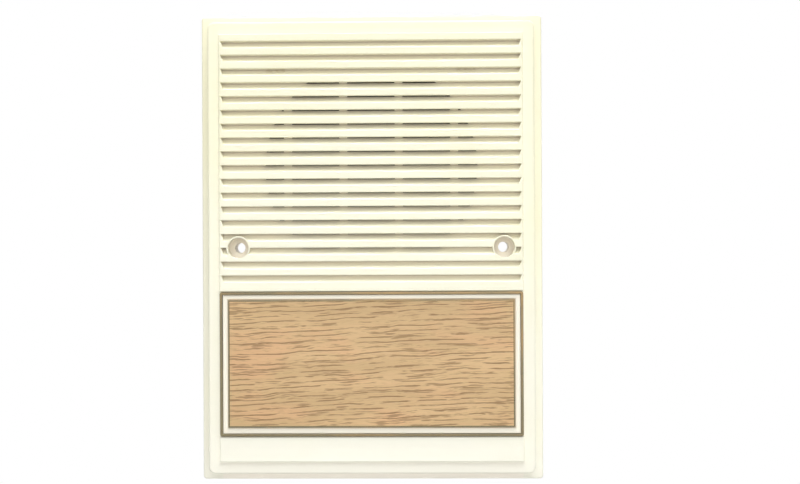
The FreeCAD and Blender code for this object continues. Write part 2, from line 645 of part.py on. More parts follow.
def cone_radius(share):
    return "(%s + (%s - %s) * pow(%s; cone_curve))" % (NECK, LIP_IN, NECK, share)


def cone_depth(share):
    return "(%s + (cone_front - %s) * %s)" % (NECK_DEEP, NECK_DEEP, share)


def speaker_cone():
    """A paper cone that flares towards its lip, with a short collar on the coil former."""
    steps = int(value("cone_steps"))
    shares = ["%.4f" % (step / steps) for step in range(steps + 1)]
    front = [(cone_radius(share), cone_depth(share)) for share in reversed(shares)]
    back = [(cone_radius(share) + " + cone_thick / 2",
             cone_depth(share) + " + cone_thick") for share in shares[1:-1]]
    points = [(LIP_OUT, "cone_front")] + front
    points += [(NECK, NECK_DEEP + " + neck_long"), (NECK + " + cone_thick", NECK_DEEP + " + neck_long")]
    points += back + [(LIP_IN + " + cone_thick / 2", LIP_BACK), (LIP_OUT, LIP_BACK)]
    keep(turned("cone_body", points), "speaker_cone")


def dust_cap():
    """A dome glued to the front of the cone, where the cone is as wide as the dome."""
    share = "pow((cap_wide / 2 - %s) / (%s - %s); 1 / cone_curve)" % (NECK, LIP_IN, NECK)
    drop = "sqrt(cap_ball * cap_ball / 4 - cap_wide * cap_wide / 4)"
    centre = "%s - cap_clear + %s" % (cone_depth(share), drop)
    ball = doc.addObject("Part::Sphere", "cap_ball_outside")
    bind(ball, "Radius", "cap_ball / 2")
    hollow = doc.addObject("Part::Sphere", "cap_ball_inside")
    bind(hollow, "Radius", "cap_ball / 2 - cap_thick")
    shell = minus("cap_shell", ball, hollow)
    trim = rod("cap_trim", "cap_ball * 2", "cap_ball * 2", "0", "-" + drop, "0")
    dome = minus("cap_dome", shell, trim)
    place(dome, "0", "-speaker_seat + " + centre, "speaker_up")
    keep(dome, "dust_cap")


def coil():
    start = "(%s + (top_plate_thick - winding_long) / 2)" % MAGNET_START
    end = "(%s + winding_long)" % start
    plain_ring("voice_coil_former", "former_bore", FORMER_WIDE, NECK_DEEP + " - former_nose",
               end + " + former_tail")
    plain_ring("voice_coil_winding", FORMER_WIDE, FORMER_WIDE + " + 2 * winding_wall", start, end)


def spider():
    """The pleated disc that centres the coil, from the frame's ledge to the former."""
    behind_neck = "(%s + neck_long + spider_gap)" % NECK_DEEP
    pleated_ring("spider", "(%s + spider_collar)" % NECK, "(%s / 2 - spider_inset)" % LEDGE_IN, NECK,
                 "(%s / 2 - spider_inset)" % LEDGE_OUT, behind_neck, "(ledge_deep - spider_thick)",
                 "spider_thick", "spider_pleats")


# ---------------------------------------------------------------- solder tags and braids

BOARD_START = MAGNET_START
BOARD_END = "(%s + tag_board_thick)" % BOARD_START
LUGS = ["%d * lug_gap / 2" % side for side in SIDES]


def in_speaker(depth, down):
    """World formulas for a depth behind the rim and a distance below the axis."""
    return "-speaker_seat + " + depth, "speaker_up - (%s)" % down


def rivet(name, shank, head, start, end, x):
    """A rivet through a stack between two depths of the loudspeaker, with a head at each end."""
    y, z = in_speaker(start, TAG_DOWN)
    far, _ = in_speaker(end, TAG_DOWN)
    body = rod(name + "_shank", shank, "(%s) - (%s)" % (end, start), x, y, z)
    heads = [rod(name + "_head_a", head, "rivet_head_thick", x, y + " - rivet_head_thick", z),
             rod(name + "_head_b", head, "rivet_head_thick", x, far, z)]
    return joined(name, [body] + heads)


def tag_parts():
    y, z = in_speaker(BOARD_START, TAG_DOWN)
    board = block("board", "tag_board_wide", "tag_board_thick", "tag_board_tall", "0", y, z)
    middle = rod("board_hole", "tag_rivet_shank + 2 * rivet_clear", "tag_board_thick", "0", y, z)
    holes = [rod("board_hole_%d" % index, "lug_rivet_shank + 2 * rivet_clear",
                 "tag_board_thick", x, y, z) for index, x in enumerate(LUGS)]
    keep(minus("board_cut", board, joined("board_holes", [middle] + holes)), "tag_board")
    keep(rivet("middle_rivet", "tag_rivet_shank", "tag_rivet_head", BASE_DEEP, BOARD_END, "0"),
         "tag_rivet")
    back, _ = in_speaker(BOARD_END, "0")
    lugs = []
    for index, x in enumerate(LUGS):
        strip = block("lug_strip_%d" % index, "lug_wide", "lug_thick", "lug_long", x, back, z)
        hole = rod("lug_hole_%d" % index, "lug_rivet_shank + 2 * rivet_clear", "lug_thick", x, back, z)
        lugs.append(minus("lug_%d" % index, strip, hole))
    keep(group("lug_pair", lugs), "solder_lugs")
    rivets = [rivet("lug_rivet_%d" % index, "lug_rivet_shank", "lug_rivet_head",
                    BOARD_START, BOARD_END + " + lug_thick", x) for index, x in enumerate(LUGS)]
    keep(group("lug_rivet_pair", rivets), "lug_rivets")


def tinsel_leads():
    """Two braids from the back of the cone, out through the lower window, to the lugs."""
    braid, side = value("braid_wide"), value("lug_gap / 2")
    rim, axis = -value("speaker_seat"), value("speaker_up")
    cone_down, lug_down = value("braid_cone_down"), value(TAG_DOWN + " - lug_long / 2 + lug_end")
    share = ((math.hypot(side, cone_down) - value(NECK)) / value("%s - %s" % (LIP_IN, NECK))) ** (
        1 / value("cone_curve"))
    start = value(cone_depth("%.6f" % share)) + value("cone_thick") + braid / 2
    end = value(BOARD_END)
    past_ledge = value(LEDGE_OUT + " / 2 + frame_sheet + braid_bow")
    turn = value("ledge_deep")
    solids = []
    for sign in SIDES:
        x = sign * side
        route = [(x, rim + start, axis - cone_down),
                 (x, rim + start + braid, axis - cone_down - 2 * braid),
                 (x, rim + turn - 2 * braid, axis - past_ledge),
                 (x, rim + turn + braid, axis - past_ledge),
                 (x, rim + (turn + end) / 2 + braid, axis - lug_down - braid),
                 (x, rim + end - 2 * braid, axis - lug_down),
                 (x, rim + end, axis - lug_down)]
        solids.append(round_wire(route, braid))
    leads = doc.addObject("Part::Feature", "braids")
    leads.Shape = Part.makeCompound(solids)
    keep(leads, "tinsel_leads")


# ---------------------------------------------------------------- screws, washers, gasket

def speaker_fixings():
    plain_ring("speaker_gasket", "frame_wide - 2 * gasket_wide", "frame_wide",
               "-rim_thick - gasket_thick", "-rim_thick")
    screws, washers = [], []
    for index, (x, z) in enumerate(EARS):
        seat = "-speaker_seat + frame_sheet"
        disc = rod("washer_disc_%d" % index, "washer_wide", "washer_thick", x, seat, z)
        bore = rod("washer_bore_%d" % index, "washer_bore", "washer_thick", x, seat, z)
        washers.append(minus("washer_%d" % index, disc, bore))
        screws.append(slotted_screw("ear_screw_%d" % index, "screw_shank", "screw_head",
                                    "screw_head_thick", "screw_grip + frame_sheet + washer_thick",
                                    x, seat + " + washer_thick", z))
    keep(group("ear_screws", screws), "speaker_screws")
    keep(group("ear_washers", washers), "speaker_washers")


# ---------------------------------------------------------------- terminal block

BLOCK_BACK = "(block_thick - block_floor)"
CLAMP_START = "(%s + wire_bare)" % BLOCK_BACK
TERMINALS = ["%d * terminal_gap / 2" % side for side in SIDES]


def terminal_block():
    """A black moulded strip: two terminals between barriers, and an ear at each end."""
    strip = block("strip", "block_wide", "block_thick", "block_tall", "0", "-block_floor",
                  "-insert_down")
    ears = block("strip_ears", "block_wide + 2 * block_ear", "block_ear_thick", "block_tall",
                 "0", "-block_floor", "-insert_down")
    walls = [block("barrier_%d" % (step + 1), "barrier_thick", "barrier_rise", "block_tall",
                   "%d * (block_wide - barrier_thick) / 2" % step, BLOCK_BACK, "-insert_down")
             for step in (-1, 0, 1)]
    tapped = [rod("terminal_hole_%d" % index, "terminal_shank + 2 * pilot_clear", "terminal_deep",
                  x, BLOCK_BACK + " - terminal_deep", "-insert_down")
              for index, x in enumerate(TERMINALS)]
    ear_holes = [rod("strip_ear_hole_%d" % index, "ear_hole", "block_ear_thick", x,
                     "-block_floor", z) for index, (x, z) in enumerate(BLOCK_SCREWS)]
    whole = joined("strip_whole", [strip, ears] + walls)
    keep(minus("strip_cut", whole, group("strip_holes", tapped + ear_holes)), "terminal_block")


def terminal_metal():
    """Clamp plates under slotted screws, and the two screws that hold the block."""
    clamps, screws = [], []
    for index, x in enumerate(TERMINALS):
        plate = block("clamp_plate_%d" % index, "clamp_wide", "clamp_thick", "clamp_tall", x,
                      CLAMP_START, "-insert_down")
        bore = rod("clamp_bore_%d" % index, "terminal_shank + 2 * pilot_clear", "clamp_thick", x,
                   CLAMP_START, "-insert_down")
        clamps.append(minus("clamp_%d" % index, plate, bore))
        length = "terminal_deep + wire_bare + clamp_thick - pilot_spare"
        screws.append(slotted_screw("terminal_screw_%d" % index, "terminal_shank", "terminal_head",
                                    "terminal_head_thick", length, x,
                                    CLAMP_START + " + clamp_thick", "-insert_down"))
    keep(group("clamp_pair", clamps), "terminal_clamps")
    keep(group("terminal_screw_pair", screws), "terminal_screws")
    fixings = [slotted_screw("block_screw_%d" % index, "screw_shank", "screw_head",
                             "screw_head_thick", "block_screw_long", x,
                             "block_ear_thick - block_floor", z)
               for index, (x, z) in enumerate(BLOCK_SCREWS)]
    keep(group("block_screw_pair", fixings), "block_screws")


def upright_rod(name, wide, length, x, y, z):
    """A cylinder that runs up from its lower end."""
    thing = doc.addObject("Part::Cylinder", name)
    bind(thing, "Radius", "(%s) / 2" % wide)
    bind(thing, "Height", length)
    return place(thing, x, y, z)


def lead_wires():
    """Two insulated wires from the lugs to the terminals, and the bare ends that they grip."""
    lug_low = "(speaker_up - %s - lug_long / 2)" % TAG_DOWN
    lug_rear = "(-speaker_seat + %s + lug_thick + wire_bare / 2)" % BOARD_END
    clamp_top = "(clamp_tall / 2 - insert_down)"
    beside = "((terminal_shank + wire_bare) / 2 + pilot_clear)"
    drop, wire = value("wire_drop"), value("wire_wide")
    start_z, end_z = value(lug_low + " - wire_strip"), value(clamp_top + " + wire_strip")
    back, front = value(lug_rear), value(BLOCK_BACK) + wire / 2
    solids, bare = [], []
    for index, sign in enumerate(SIDES):
        lug_x = "%d * lug_gap / 2" % sign
        end_x = "%d * (terminal_gap / 2 + %s)" % (sign, beside)
        first, last = value(lug_x), value(end_x)
        low = start_z - drop
        route = [(first, back, start_z), (first, back, start_z - drop / 2),
                 (first, (3 * back + front) / 4, low),
                 (last, front + 2 * wire, (low + end_z) / 2 - wire),
                 (last, front, end_z + 2 * wire), (last, front, end_z)]
        solids.append(round_wire(route, wire))
        bare.append(upright_rod("lug_end_%d" % index, "wire_bare", "wire_strip + wire_hold",
                                lug_x, lug_rear, lug_low + " - wire_strip"))
        bare.append(upright_rod("clamp_end_%d" % index, "wire_bare", "clamp_tall / 2 + wire_strip",
                                end_x, BLOCK_BACK + " + wire_bare / 2", "-insert_down"))
    leads = doc.addObject("Part::Feature", "wires")
    leads.Shape = Part.makeCompound(solids)
    keep(leads, "lead_wires")
    keep(group("bare_wires", bare), "bare_wire_ends")


# ---------------------------------------------------------------- build, check and write

def check():
    doc.recompute()
    for thing in doc.Objects:
        if "Invalid" in thing.State or "Error" in thing.State:
            raise RuntimeError("%s failed: %s" % (thing.Name, thing.State))
    for part in parts:
        if part.Shape.isNull() or not part.Shape.isValid() or not part.Shape.Solids:
            raise RuntimeError("%s has no sound shape" % part.Label)


def write():
    os.makedirs("parts", exist_ok=True)
    for part in parts:
        part.Shape.exportStep(os.path.join("parts", part.Label + ".step"))
        box = part.Shape.BoundBox
        print("%-20s %2d solids %10.1f mm3   x %7.2f %7.2f  y %7.2f %7.2f  z %7.2f %7.2f" % (
            part.Label, len(part.Shape.Solids), part.Shape.Volume,
            box.XMin, box.XMax, box.YMin, box.YMax, box.ZMin, box.ZMax))


front_cover()
insert_tray()
gold_trim()
woodgrain_plate()
speaker_basket()
magnet_parts()
cone_surround()
speaker_cone()
dust_cap()
coil()
spider()
tag_parts()
tinsel_leads()
speaker_fixings()
terminal_block()
terminal_metal()
lead_wires()
check()
write()
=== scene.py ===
# %% [markdown]
# # A wall intercom station, dressed for its portrait
# The station is a cream plate with louvres, a wood-faced insert in a gilt band, and a small
# loudspeaker behind the louvres. The measured solids come from CAD and stay where they are.
# This lesson gives each of them its real edges, its finish and the small things that a drawing
# leaves out. Everything is in metres, with Z up and the front towards -Y.

# %% Load the frame
import math

import bmesh
import bpy
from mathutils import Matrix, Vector, noise
from mathutils.bvhtree import BVHTree


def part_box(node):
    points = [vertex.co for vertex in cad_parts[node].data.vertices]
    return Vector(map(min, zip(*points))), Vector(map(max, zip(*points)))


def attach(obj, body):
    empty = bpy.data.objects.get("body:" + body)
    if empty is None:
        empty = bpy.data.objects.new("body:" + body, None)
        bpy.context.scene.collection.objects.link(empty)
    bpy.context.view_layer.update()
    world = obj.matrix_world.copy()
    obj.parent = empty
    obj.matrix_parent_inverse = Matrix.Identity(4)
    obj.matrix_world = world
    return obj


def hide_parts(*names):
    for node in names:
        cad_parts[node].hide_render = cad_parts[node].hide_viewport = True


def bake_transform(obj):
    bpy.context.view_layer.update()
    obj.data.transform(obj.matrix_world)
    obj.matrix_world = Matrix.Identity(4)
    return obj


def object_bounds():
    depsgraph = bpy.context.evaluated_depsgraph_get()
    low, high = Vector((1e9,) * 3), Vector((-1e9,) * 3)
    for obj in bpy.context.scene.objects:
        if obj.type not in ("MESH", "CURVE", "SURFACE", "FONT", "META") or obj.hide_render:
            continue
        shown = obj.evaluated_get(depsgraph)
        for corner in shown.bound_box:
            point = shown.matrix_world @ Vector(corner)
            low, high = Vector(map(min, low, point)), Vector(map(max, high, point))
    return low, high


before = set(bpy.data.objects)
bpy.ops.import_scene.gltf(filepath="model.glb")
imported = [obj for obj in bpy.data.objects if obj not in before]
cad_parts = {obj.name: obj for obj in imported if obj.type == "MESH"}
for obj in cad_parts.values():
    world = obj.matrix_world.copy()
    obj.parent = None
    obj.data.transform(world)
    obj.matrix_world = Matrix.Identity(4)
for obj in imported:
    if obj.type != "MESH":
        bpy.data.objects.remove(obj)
cad_low, cad_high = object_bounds()
MM = 0.001
magnet_low, magnet_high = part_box("magnet")
SPEAKER_UP = (magnet_low.z + magnet_high.z) / 2
print("solids:", len(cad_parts), "size in mm:",
      [round((high - low) / MM, 1) for low, high in zip(cad_low, cad_high)])

# %% [markdown]
# ## The camera
# A flat thing is best shown almost square on, from near enough that its side walls still show.
# The lens stands half a metre away, two and a half degrees round to the right, and turns one
# degree back, so the right edge comes out a hair larger than the left. It could be aimed by
# eye, but a distance and two angles say what was meant, and its place follows from them. The
# slight roll is what a hand-held camera would have.

# %% Camera
STAND_OFF = 476.7 * MM
EYE_HEIGHT = 2.3 * MM
ROUND_TO_RIGHT = math.radians(2.47)
TURNED_BACK = math.radians(0.97)
ROLL = math.radians(0.26)
PANEL_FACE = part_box("front_cover")[0].y


def new_object(name, data):
    """An object that is linked into the scene."""
    made = bpy.data.objects.new(name, data)
    bpy.context.scene.collection.objects.link(made)
    return made


camera_data = bpy.data.cameras.new("camera")
camera_data.lens = 50
camera_data.sensor_width = 36
camera = new_object("camera", camera_data)
camera.location = (STAND_OFF * math.sin(ROUND_TO_RIGHT),
                   PANEL_FACE - STAND_OFF * math.cos(ROUND_TO_RIGHT), EYE_HEIGHT)
camera.rotation_euler = (math.radians(90), ROLL, TURNED_BACK)
bpy.context.scene.camera = camera
bpy.context.scene.view_settings.view_transform = "Standard"
print("lens at", [round(value / MM, 1) for value in camera.location], "mm")

# %% [markdown]
# ## The studio
# Pale plastic shows its form only through soft shade. About a third of the light comes from all
# round, a broad lamp in front reaches down into the louvres, and a soft one above draws short
# shadows. A small lamp high up grazes the plate: it adds little to the faces, but even the low
# step under the insert throws a long faint shadow in it. One more stands behind, for whoever
# looks at the wiring side. A picture of a studio wrapped round the scene would light it too,
# but lamps can be moved one by one. The world is white for the lens and for reflections, and
# dimmer as a lamp: the Light Path node tells these rays apart, so the backdrop stays white
# while the plate isn't washed out.

# %% World
FILL = 0.34
world = bpy.data.worlds.new("studio")
bpy.context.scene.world = world
world.use_nodes = True
sky = world.node_tree
path = sky.nodes.new("ShaderNodeLightPath")
seen = path.outputs["Is Camera Ray"]
for ray in ("Is Glossy Ray", "Is Transmission Ray"):
    either = sky.nodes.new("ShaderNodeMath")
    either.operation = "MAXIMUM"
    sky.links.new(seen, either.inputs[0])
    sky.links.new(path.outputs[ray], either.inputs[1])
    seen = either.outputs[0]
level = sky.nodes.new("ShaderNodeMapRange")
level.inputs["To Min"].default_value = FILL
level.inputs["To Max"].default_value = 1.0
sky.links.new(seen, level.inputs["Value"])
sky.nodes["Background"].inputs["Color"].default_value = (1, 1, 1, 1)
sky.links.new(level.outputs[0], sky.nodes["Background"].inputs["Strength"])
print("fill light", FILL)


# %% Lamps
def soft_lamp(name, direction, distance, wide, power, cone=180):
    """A square lamp that looks at the plate from a direction, given as a point around it."""
    data = bpy.data.lights.new(name, "AREA")
    data.size = wide
    data.energy = power
    data.spread = math.radians(cone)
    lamp = new_object(name, data)
    towards = Vector(direction).normalized()
    lamp.location = towards * distance
    lamp.rotation_euler = towards.to_track_quat("Z", "Y").to_euler()
    print(name, "at", [round(value, 2) for value in lamp.location], "power", power)


soft_lamp("grazing_lamp", (0.08, -0.15, 1.0), distance=3.6, wide=0.24, power=0.75, cone=20)
soft_lamp("key_lamp", (0.11, -0.62, 1.0), distance=2.6, wide=1.4, power=39.5)
soft_lamp("front_lamp", (0.03, -1.0, 0.05), distance=1.3, wide=0.9, power=5.2)
soft_lamp("rear_lamp", (-0.4, 1.0, 0.9), distance=1.4, wide=0.8, power=8.0)


# %% [markdown] ## A kit for finishes Every finish starts from one Principled shader. Values
# that are even all over are written on the shader itself, and only what varies gets nodes:
# cloudy noise for mottling, stretched noise for grain, and bump for a texture that light can
# catch. Its noise is placed by the object's own coordinates, so it doesn't slide.

# %% Finish kit
WAVE_REPEAT = 0.314  # a wave texture of Scale 1 repeats after this many metres


class Finish:
    """A material with short ways to vary its colour, gloss and surface."""

    def __init__(self, name, colour, roughness, metallic=0.0, **sockets):
        self.material = bpy.data.materials.new(name)
        self.material.use_nodes = True
        self.tree = self.material.node_tree
        self.shader = self.tree.nodes["Principled BSDF"]
        self.shader.inputs["Base Color"].default_value = (*colour, 1)
        self.shader.inputs["Roughness"].default_value = roughness
        self.shader.inputs["Metallic"].default_value = metallic
        for socket, value in sockets.items():
            self.shader.inputs[socket.replace("_", " ")].default_value = value
        self.place = self.add("ShaderNodeTexCoord").outputs["Object"]
        self.relief = None

    def add(self, kind, inputs=None, **settings):
        """A new node; its inputs are given by name or by number."""
        node = self.tree.nodes.new(kind)
        for name, value in settings.items():
            setattr(node, name, value)
        for name, value in (inputs or {}).items():
            self.feed(node.inputs[name], value)
        return node

    def feed(self, socket, value):
        if isinstance(value, bpy.types.NodeSocket):
            self.tree.links.new(value, socket)
        else:
            socket.default_value = value

    def axis(self, name, vector=None):
        """One coordinate of the surface, in metres, or of another vector."""
        split = self.add("ShaderNodeSeparateXYZ", {"Vector": vector or self.place})
        return split.outputs[name]

    def noise(self, per_metre, detail=3.0, rough=0.5, place=None):
        """Cloudy values from 0 to 1; per_metre counts the clouds along X, Y and Z."""
        place = place or self.place
        scaled = self.add("ShaderNodeMapping", {"Vector": place, "Scale": per_metre}).outputs[0]
        cloud = self.add("ShaderNodeTexNoise", {
            "Vector": scaled, "Scale": 1.0, "Detail": detail, "Roughness": rough})
        return cloud.outputs[0]

    def even(self, size, **settings):
        """Noise whose clouds are as large every way; size is one cloud, in metres."""
        return self.noise((1 / size, 1 / size, 1 / size), **settings)

    def wave(self, pitch, place, inputs, **settings):
        """Soft stripes or rings that repeat once per pitch, in metres."""
        scale = WAVE_REPEAT / pitch
        stripes = self.add("ShaderNodeTexWave", {"Vector": place, "Scale": scale, **inputs},
                           **settings)
        return stripes.outputs["Fac"]

    def span(self, value, low, high, bottom=0.0, top=1.0):
        """Stretches a range of values over another, and holds it there."""
        return self.add("ShaderNodeMapRange", {
            "Value": value, "From Min": low, "From Max": high,
            "To Min": bottom, "To Max": top}).outputs[0]

    def until(self, value, limit, fade=1 * MM):
        """1 up to a limit, and 0 once the fade behind it is passed."""
        return self.span(value, limit, limit + fade, 1.0, 0.0)

    def sums(self, operation, first, *others):
        """Works on one value, or from left to right through more."""
        for other in others or (None,):
            node = self.add("ShaderNodeMath", {0: first}, operation=operation)
            if other is not None:
                self.feed(node.inputs[1], other)
            first = node.outputs[0]
        return first

    def mixed(self, share, first, second):
        """Blends two colours; each is a colour or the output of another node."""
        node = self.add("ShaderNodeMix", {0: share}, data_type="RGBA")
        for socket, colour in ((node.inputs[6], first), (node.inputs[7], second)):
            self.feed(socket, colour if isinstance(colour, bpy.types.NodeSocket) else (*colour, 1))
        return node.outputs[2]

    def colour(self, value):
        self.feed(self.shader.inputs["Base Color"], value)

    def gloss(self, value):
        self.feed(self.shader.inputs["Roughness"], value)

    def emboss(self, height, depth):
        """Raises the surface by up to depth, in metres, on top of any earlier relief."""
        bump = self.add("ShaderNodeBump", {"Height": height, "Distance": depth})
        if self.relief is not None:
            self.feed(bump.inputs["Normal"], self.relief)
        self.relief = bump.outputs[0]
        self.feed(self.shader.inputs["Normal"], self.relief)


# %% A shelf for the finishes
FINISHES = {}


def make_finishes(recipe, named_values):
    """Cooks one recipe with several sets of values, each for the slot it is named after."""
    for name, values in named_values.items():
        FINISHES[name] = recipe(name, *values)
    print(recipe.__name__, "finishes:", ", ".join(named_values))


print("the kit can:", [way for way in vars(Finish) if not way.startswith("_")])

# %% [markdown]
# ## The floor
# The station hangs on a wall, so the floor only has to catch a shadow below it. It is a wide
# disc that turns to the white of the backdrop before its edge, which leaves no horizon. The
# fade is worked out from the place on the floor, never from where the lens stands.

# %% Floor
FLOOR_DROP = 200 * MM
FLOOR_REACH = 0.60
FADE_FROM, FADE_TO = 0.30 * FLOOR_REACH, 0.95 * FLOOR_REACH


def floor_finish():
    pale = Finish("studio_floor", (0.62, 0.62, 0.62), 0.9, Specular_IOR_Level=0.1)
    away = pale.add("ShaderNodeVectorMath", {0: pale.place}, operation="LENGTH")
    fade = pale.add("ShaderNodeMapRange", {
        "Value": away.outputs["Value"], "From Min": FADE_FROM, "From Max": FADE_TO},
        interpolation_type="SMOOTHSTEP")
    ray = pale.add("ShaderNodeLightPath").outputs["Is Camera Ray"]
    white = pale.add("ShaderNodeEmission").outputs[0]
    mix = pale.add("ShaderNodeMixShader", {
        0: pale.sums("MULTIPLY", fade.outputs[0], ray), 1: pale.shader.outputs[0], 2: white})
    pale.feed(pale.tree.nodes["Material Output"].inputs["Surface"], mix.outputs[0])
    return pale.material


disc = bmesh.new()
bmesh.ops.create_circle(disc, cap_ends=True, segments=96, radius=FLOOR_REACH)
floor_mesh = bpy.data.meshes.new("floor")
disc.to_mesh(floor_mesh)
disc.free()
floor_mesh.materials.append(floor_finish())
floor = new_object("floor", floor_mesh)
floor.location.z = cad_low.z - FLOOR_DROP
print("floor at", round(floor.location.z / MM), "mm")

# %% [markdown]
# ## Cream plastic
# The plate is moulded in a warm cream plastic with a satin skin. Decades of light have turned its
# upper half a little more yellow, with faint clouds in it. No light reached the floors of the
# louvres, so there the plastic is still as pale as it was moulded: a second colour that comes in
# with depth, held inside the panel by a mask. In the louvres this paler colour is also painted
# light, which lifts the shade deep in them. The hollow behind the plate and all that faces the
# wall stayed dark too, and take the same pale colour, found by place and by direction.
# Colours painted on the mesh could do all this, but masks follow the form by themselves.

# %% Where the plastic stayed pale, and painted light in the louvres
PANEL_HALF = 65.4 * MM
PANEL_TOP = cad_high.z - 8 * MM
GROOVE_FLOOR = -9.2 * MM
HOLLOW_HALF, HOLLOW_UP, HOLLOW_FLOOR = 68.4 * MM, 95.4 * MM, -11.5 * MM
HOLLOW_FADE = 1.2 * MM


def unlit_places(cream, aside, up):
    """Two masks: the louvres' floors, and all places that no light reached."""
    deep = cream.axis("Y")
    # The louvres' mask also carries painted light: their pale floors lift the shade there.
    louvres = cream.sums("MULTIPLY",
                         cream.span(deep, PANEL_FACE + 0.5 * MM, GROOVE_FLOOR - 1 * MM),
                         cream.until(aside, PANEL_HALF), cream.until(up, PANEL_TOP))
    hollow = cream.sums("MULTIPLY", cream.until(aside, HOLLOW_HALF, HOLLOW_FADE),
                        cream.until(cream.sums("ABSOLUTE", up), HOLLOW_UP, HOLLOW_FADE),
                        cream.span(deep, HOLLOW_FLOOR, HOLLOW_FLOOR + 1 * MM))
    facing = cream.add("ShaderNodeTexCoord").outputs["Normal"]
    to_wall = cream.span(cream.axis("Y", facing), 0.2, 0.6)
    return louvres, cream.sums("MAXIMUM", louvres, hollow, to_wall)


print("pale from", round(GROOVE_FLOOR / MM - 1, 1), "mm, inside", round(PANEL_HALF / MM, 1), "mm")

# %% [markdown]
# The two screw cups carry painted shade, darkest under their upper rims, where the light from
# above doesn't reach. The plastic has sunk a little in the louvres over the posts that hold the
# loudspeaker; the sink isn't modelled, and its deeper shade is painted as darker blotches. Both
# are round spots, about the axes of the wall's and of the loudspeaker's screws. A very fine bump
# breaks reflections up. The insert's tray is a separate moulding of a slightly warmer batch, so it
# takes the same recipe with two colours of its own.

# %% Cream plastic
SCREW_SIDE = 57.15 * MM
CUP_REACH = 4.6 * MM
SCREW_HEAD = 5.8 * MM
post_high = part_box("speaker_screws")[1]
POST_SIDE = post_high.x - SCREW_HEAD / 2
POST_UP = post_high.z - SCREW_HEAD / 2
POST_REACH = 4.5 * MM
YELLOW_FROM, YELLOW_TO = -95 * MM, 60 * MM
# The pale colour is partly painted light; the cup and sink colours are painted shade.
UNAGED_AND_PAINTED_LIGHT, CUP_PAINTED_SHADE, SINK_PAINTED_SHADE = (0.990, 0.938, 0.825), (0.760, 0.690, 0.560), (0.700, 0.620, 0.460)


def round_spot(finish, across, above, reach):
    """1 near the place where both distances are 0, and 0 outside a reach."""
    squares = finish.sums("ADD", finish.sums("MULTIPLY", across, across),
                          finish.sums("MULTIPLY", above, above))
    return finish.span(finish.sums("SQRT", squares), 0.85 * reach, reach, 1.0, 0.0)


def cream_plastic(name, young, old):
    cream = Finish(name, young, 0.38, Specular_IOR_Level=0.45)
    up = cream.axis("Z")
    aside = cream.sums("ABSOLUTE", cream.axis("X"))
    clouds = cream.span(cream.even(45 * MM, detail=4), 0.35, 0.75, -0.2, 0.2)
    yellow = cream.sums("ADD", cream.span(up, YELLOW_FROM, YELLOW_TO), clouds)
    louvres, pale = unlit_places(cream, aside, up)
    # Pale where no light reached; in the louvres this is also painted light that lifts their
    # shade.
    shade = cream.mixed(pale, cream.mixed(yellow, young, old), UNAGED_AND_PAINTED_LIGHT)
    # Painted shade in the screw cups, darkest under their upper rims.
    cup = round_spot(cream, cream.sums("SUBTRACT", aside, SCREW_SIDE), up, CUP_REACH)
    under_rim = cream.span(up, -CUP_REACH, CUP_REACH, 0.2, 1.0)
    shade = cream.mixed(cream.sums("MULTIPLY", cup, louvres, under_rim), shade, CUP_PAINTED_SHADE)
    # Painted shade for the sink marks over the posts: darker blotches in the louvres.
    post = round_spot(cream, cream.sums("SUBTRACT", aside, POST_SIDE),
                      cream.sums("SUBTRACT", up, POST_UP), POST_REACH)
    blotch = cream.span(cream.even(1.6 * MM, detail=4), 0.40, 0.62, 0.0, 0.55)
    cream.colour(cream.mixed(cream.sums("MULTIPLY", post, louvres, blotch), shade, SINK_PAINTED_SHADE))
    cream.gloss(cream.span(cream.even(6 * MM, detail=5), 0.3, 0.7, 0.34, 0.46))
    cream.emboss(cream.even(0.5 * MM, detail=2), 0.006 * MM)
    cream.emboss(cream.even(9 * MM, detail=1), 0.03 * MM)
    return cream.material


make_finishes(cream_plastic, {"cream_plastic": ((0.950, 0.930, 0.800), (0.950, 0.920, 0.685))})
tray_plastic = cream_plastic("tray_plastic", (0.990, 0.935, 0.790), (0.990, 0.935, 0.780))

# %% [markdown]
# ## Printed oak
# The insert wears a sheet printed as straight-grained oak. Oak reads through three scales at
# once: wide tan and rosy bands, thin dark growth lines about 2 mm apart, and short fine pores
# between them. The growth lines are the rings of a wave across the grain; a slow warp lets them
# rise and fall together, and a mask of long flecks breaks each line up. Lines, pores and bands
# are all stretched along X, so nothing looks blotchy. A scan of real oak would be quicker, but
# it is one more file to carry, and nodes can be stretched and tinted until the sheet fits.

# %% Printed oak
LINE_PITCH = 2.2 * MM
SLOW_LIFT, QUICK_LIFT, GRAIN_FALL = 6 * MM, 2.4 * MM, -0.035
TAN, HONEY, BLUSH = (0.570, 0.388, 0.190), (0.665, 0.455, 0.232), (0.700, 0.418, 0.218)
FIBRE, PORE, STREAK = (0.42, 0.26, 0.125), (0.36, 0.22, 0.10), (0.245, 0.142, 0.059)


def bent_place(oak):
    """The place on the sheet, lifted here and there as the rings of the tree rise and fall."""
    bend = oak.sums("SUBTRACT", oak.noise((7, 7, 16), detail=2), 0.5)
    waver = oak.sums("SUBTRACT", oak.noise((60, 60, 150)), 0.5)
    lift = oak.sums("ADD", oak.sums("MULTIPLY", bend, SLOW_LIFT),
                    oak.sums("MULTIPLY", waver, QUICK_LIFT),
                    oak.sums("MULTIPLY", oak.axis("X"), GRAIN_FALL))
    shift = oak.add("ShaderNodeCombineXYZ", {"Z": lift}).outputs[0]
    return oak.add("ShaderNodeVectorMath", {0: oak.place, 1: shift}, operation="ADD").outputs[0]


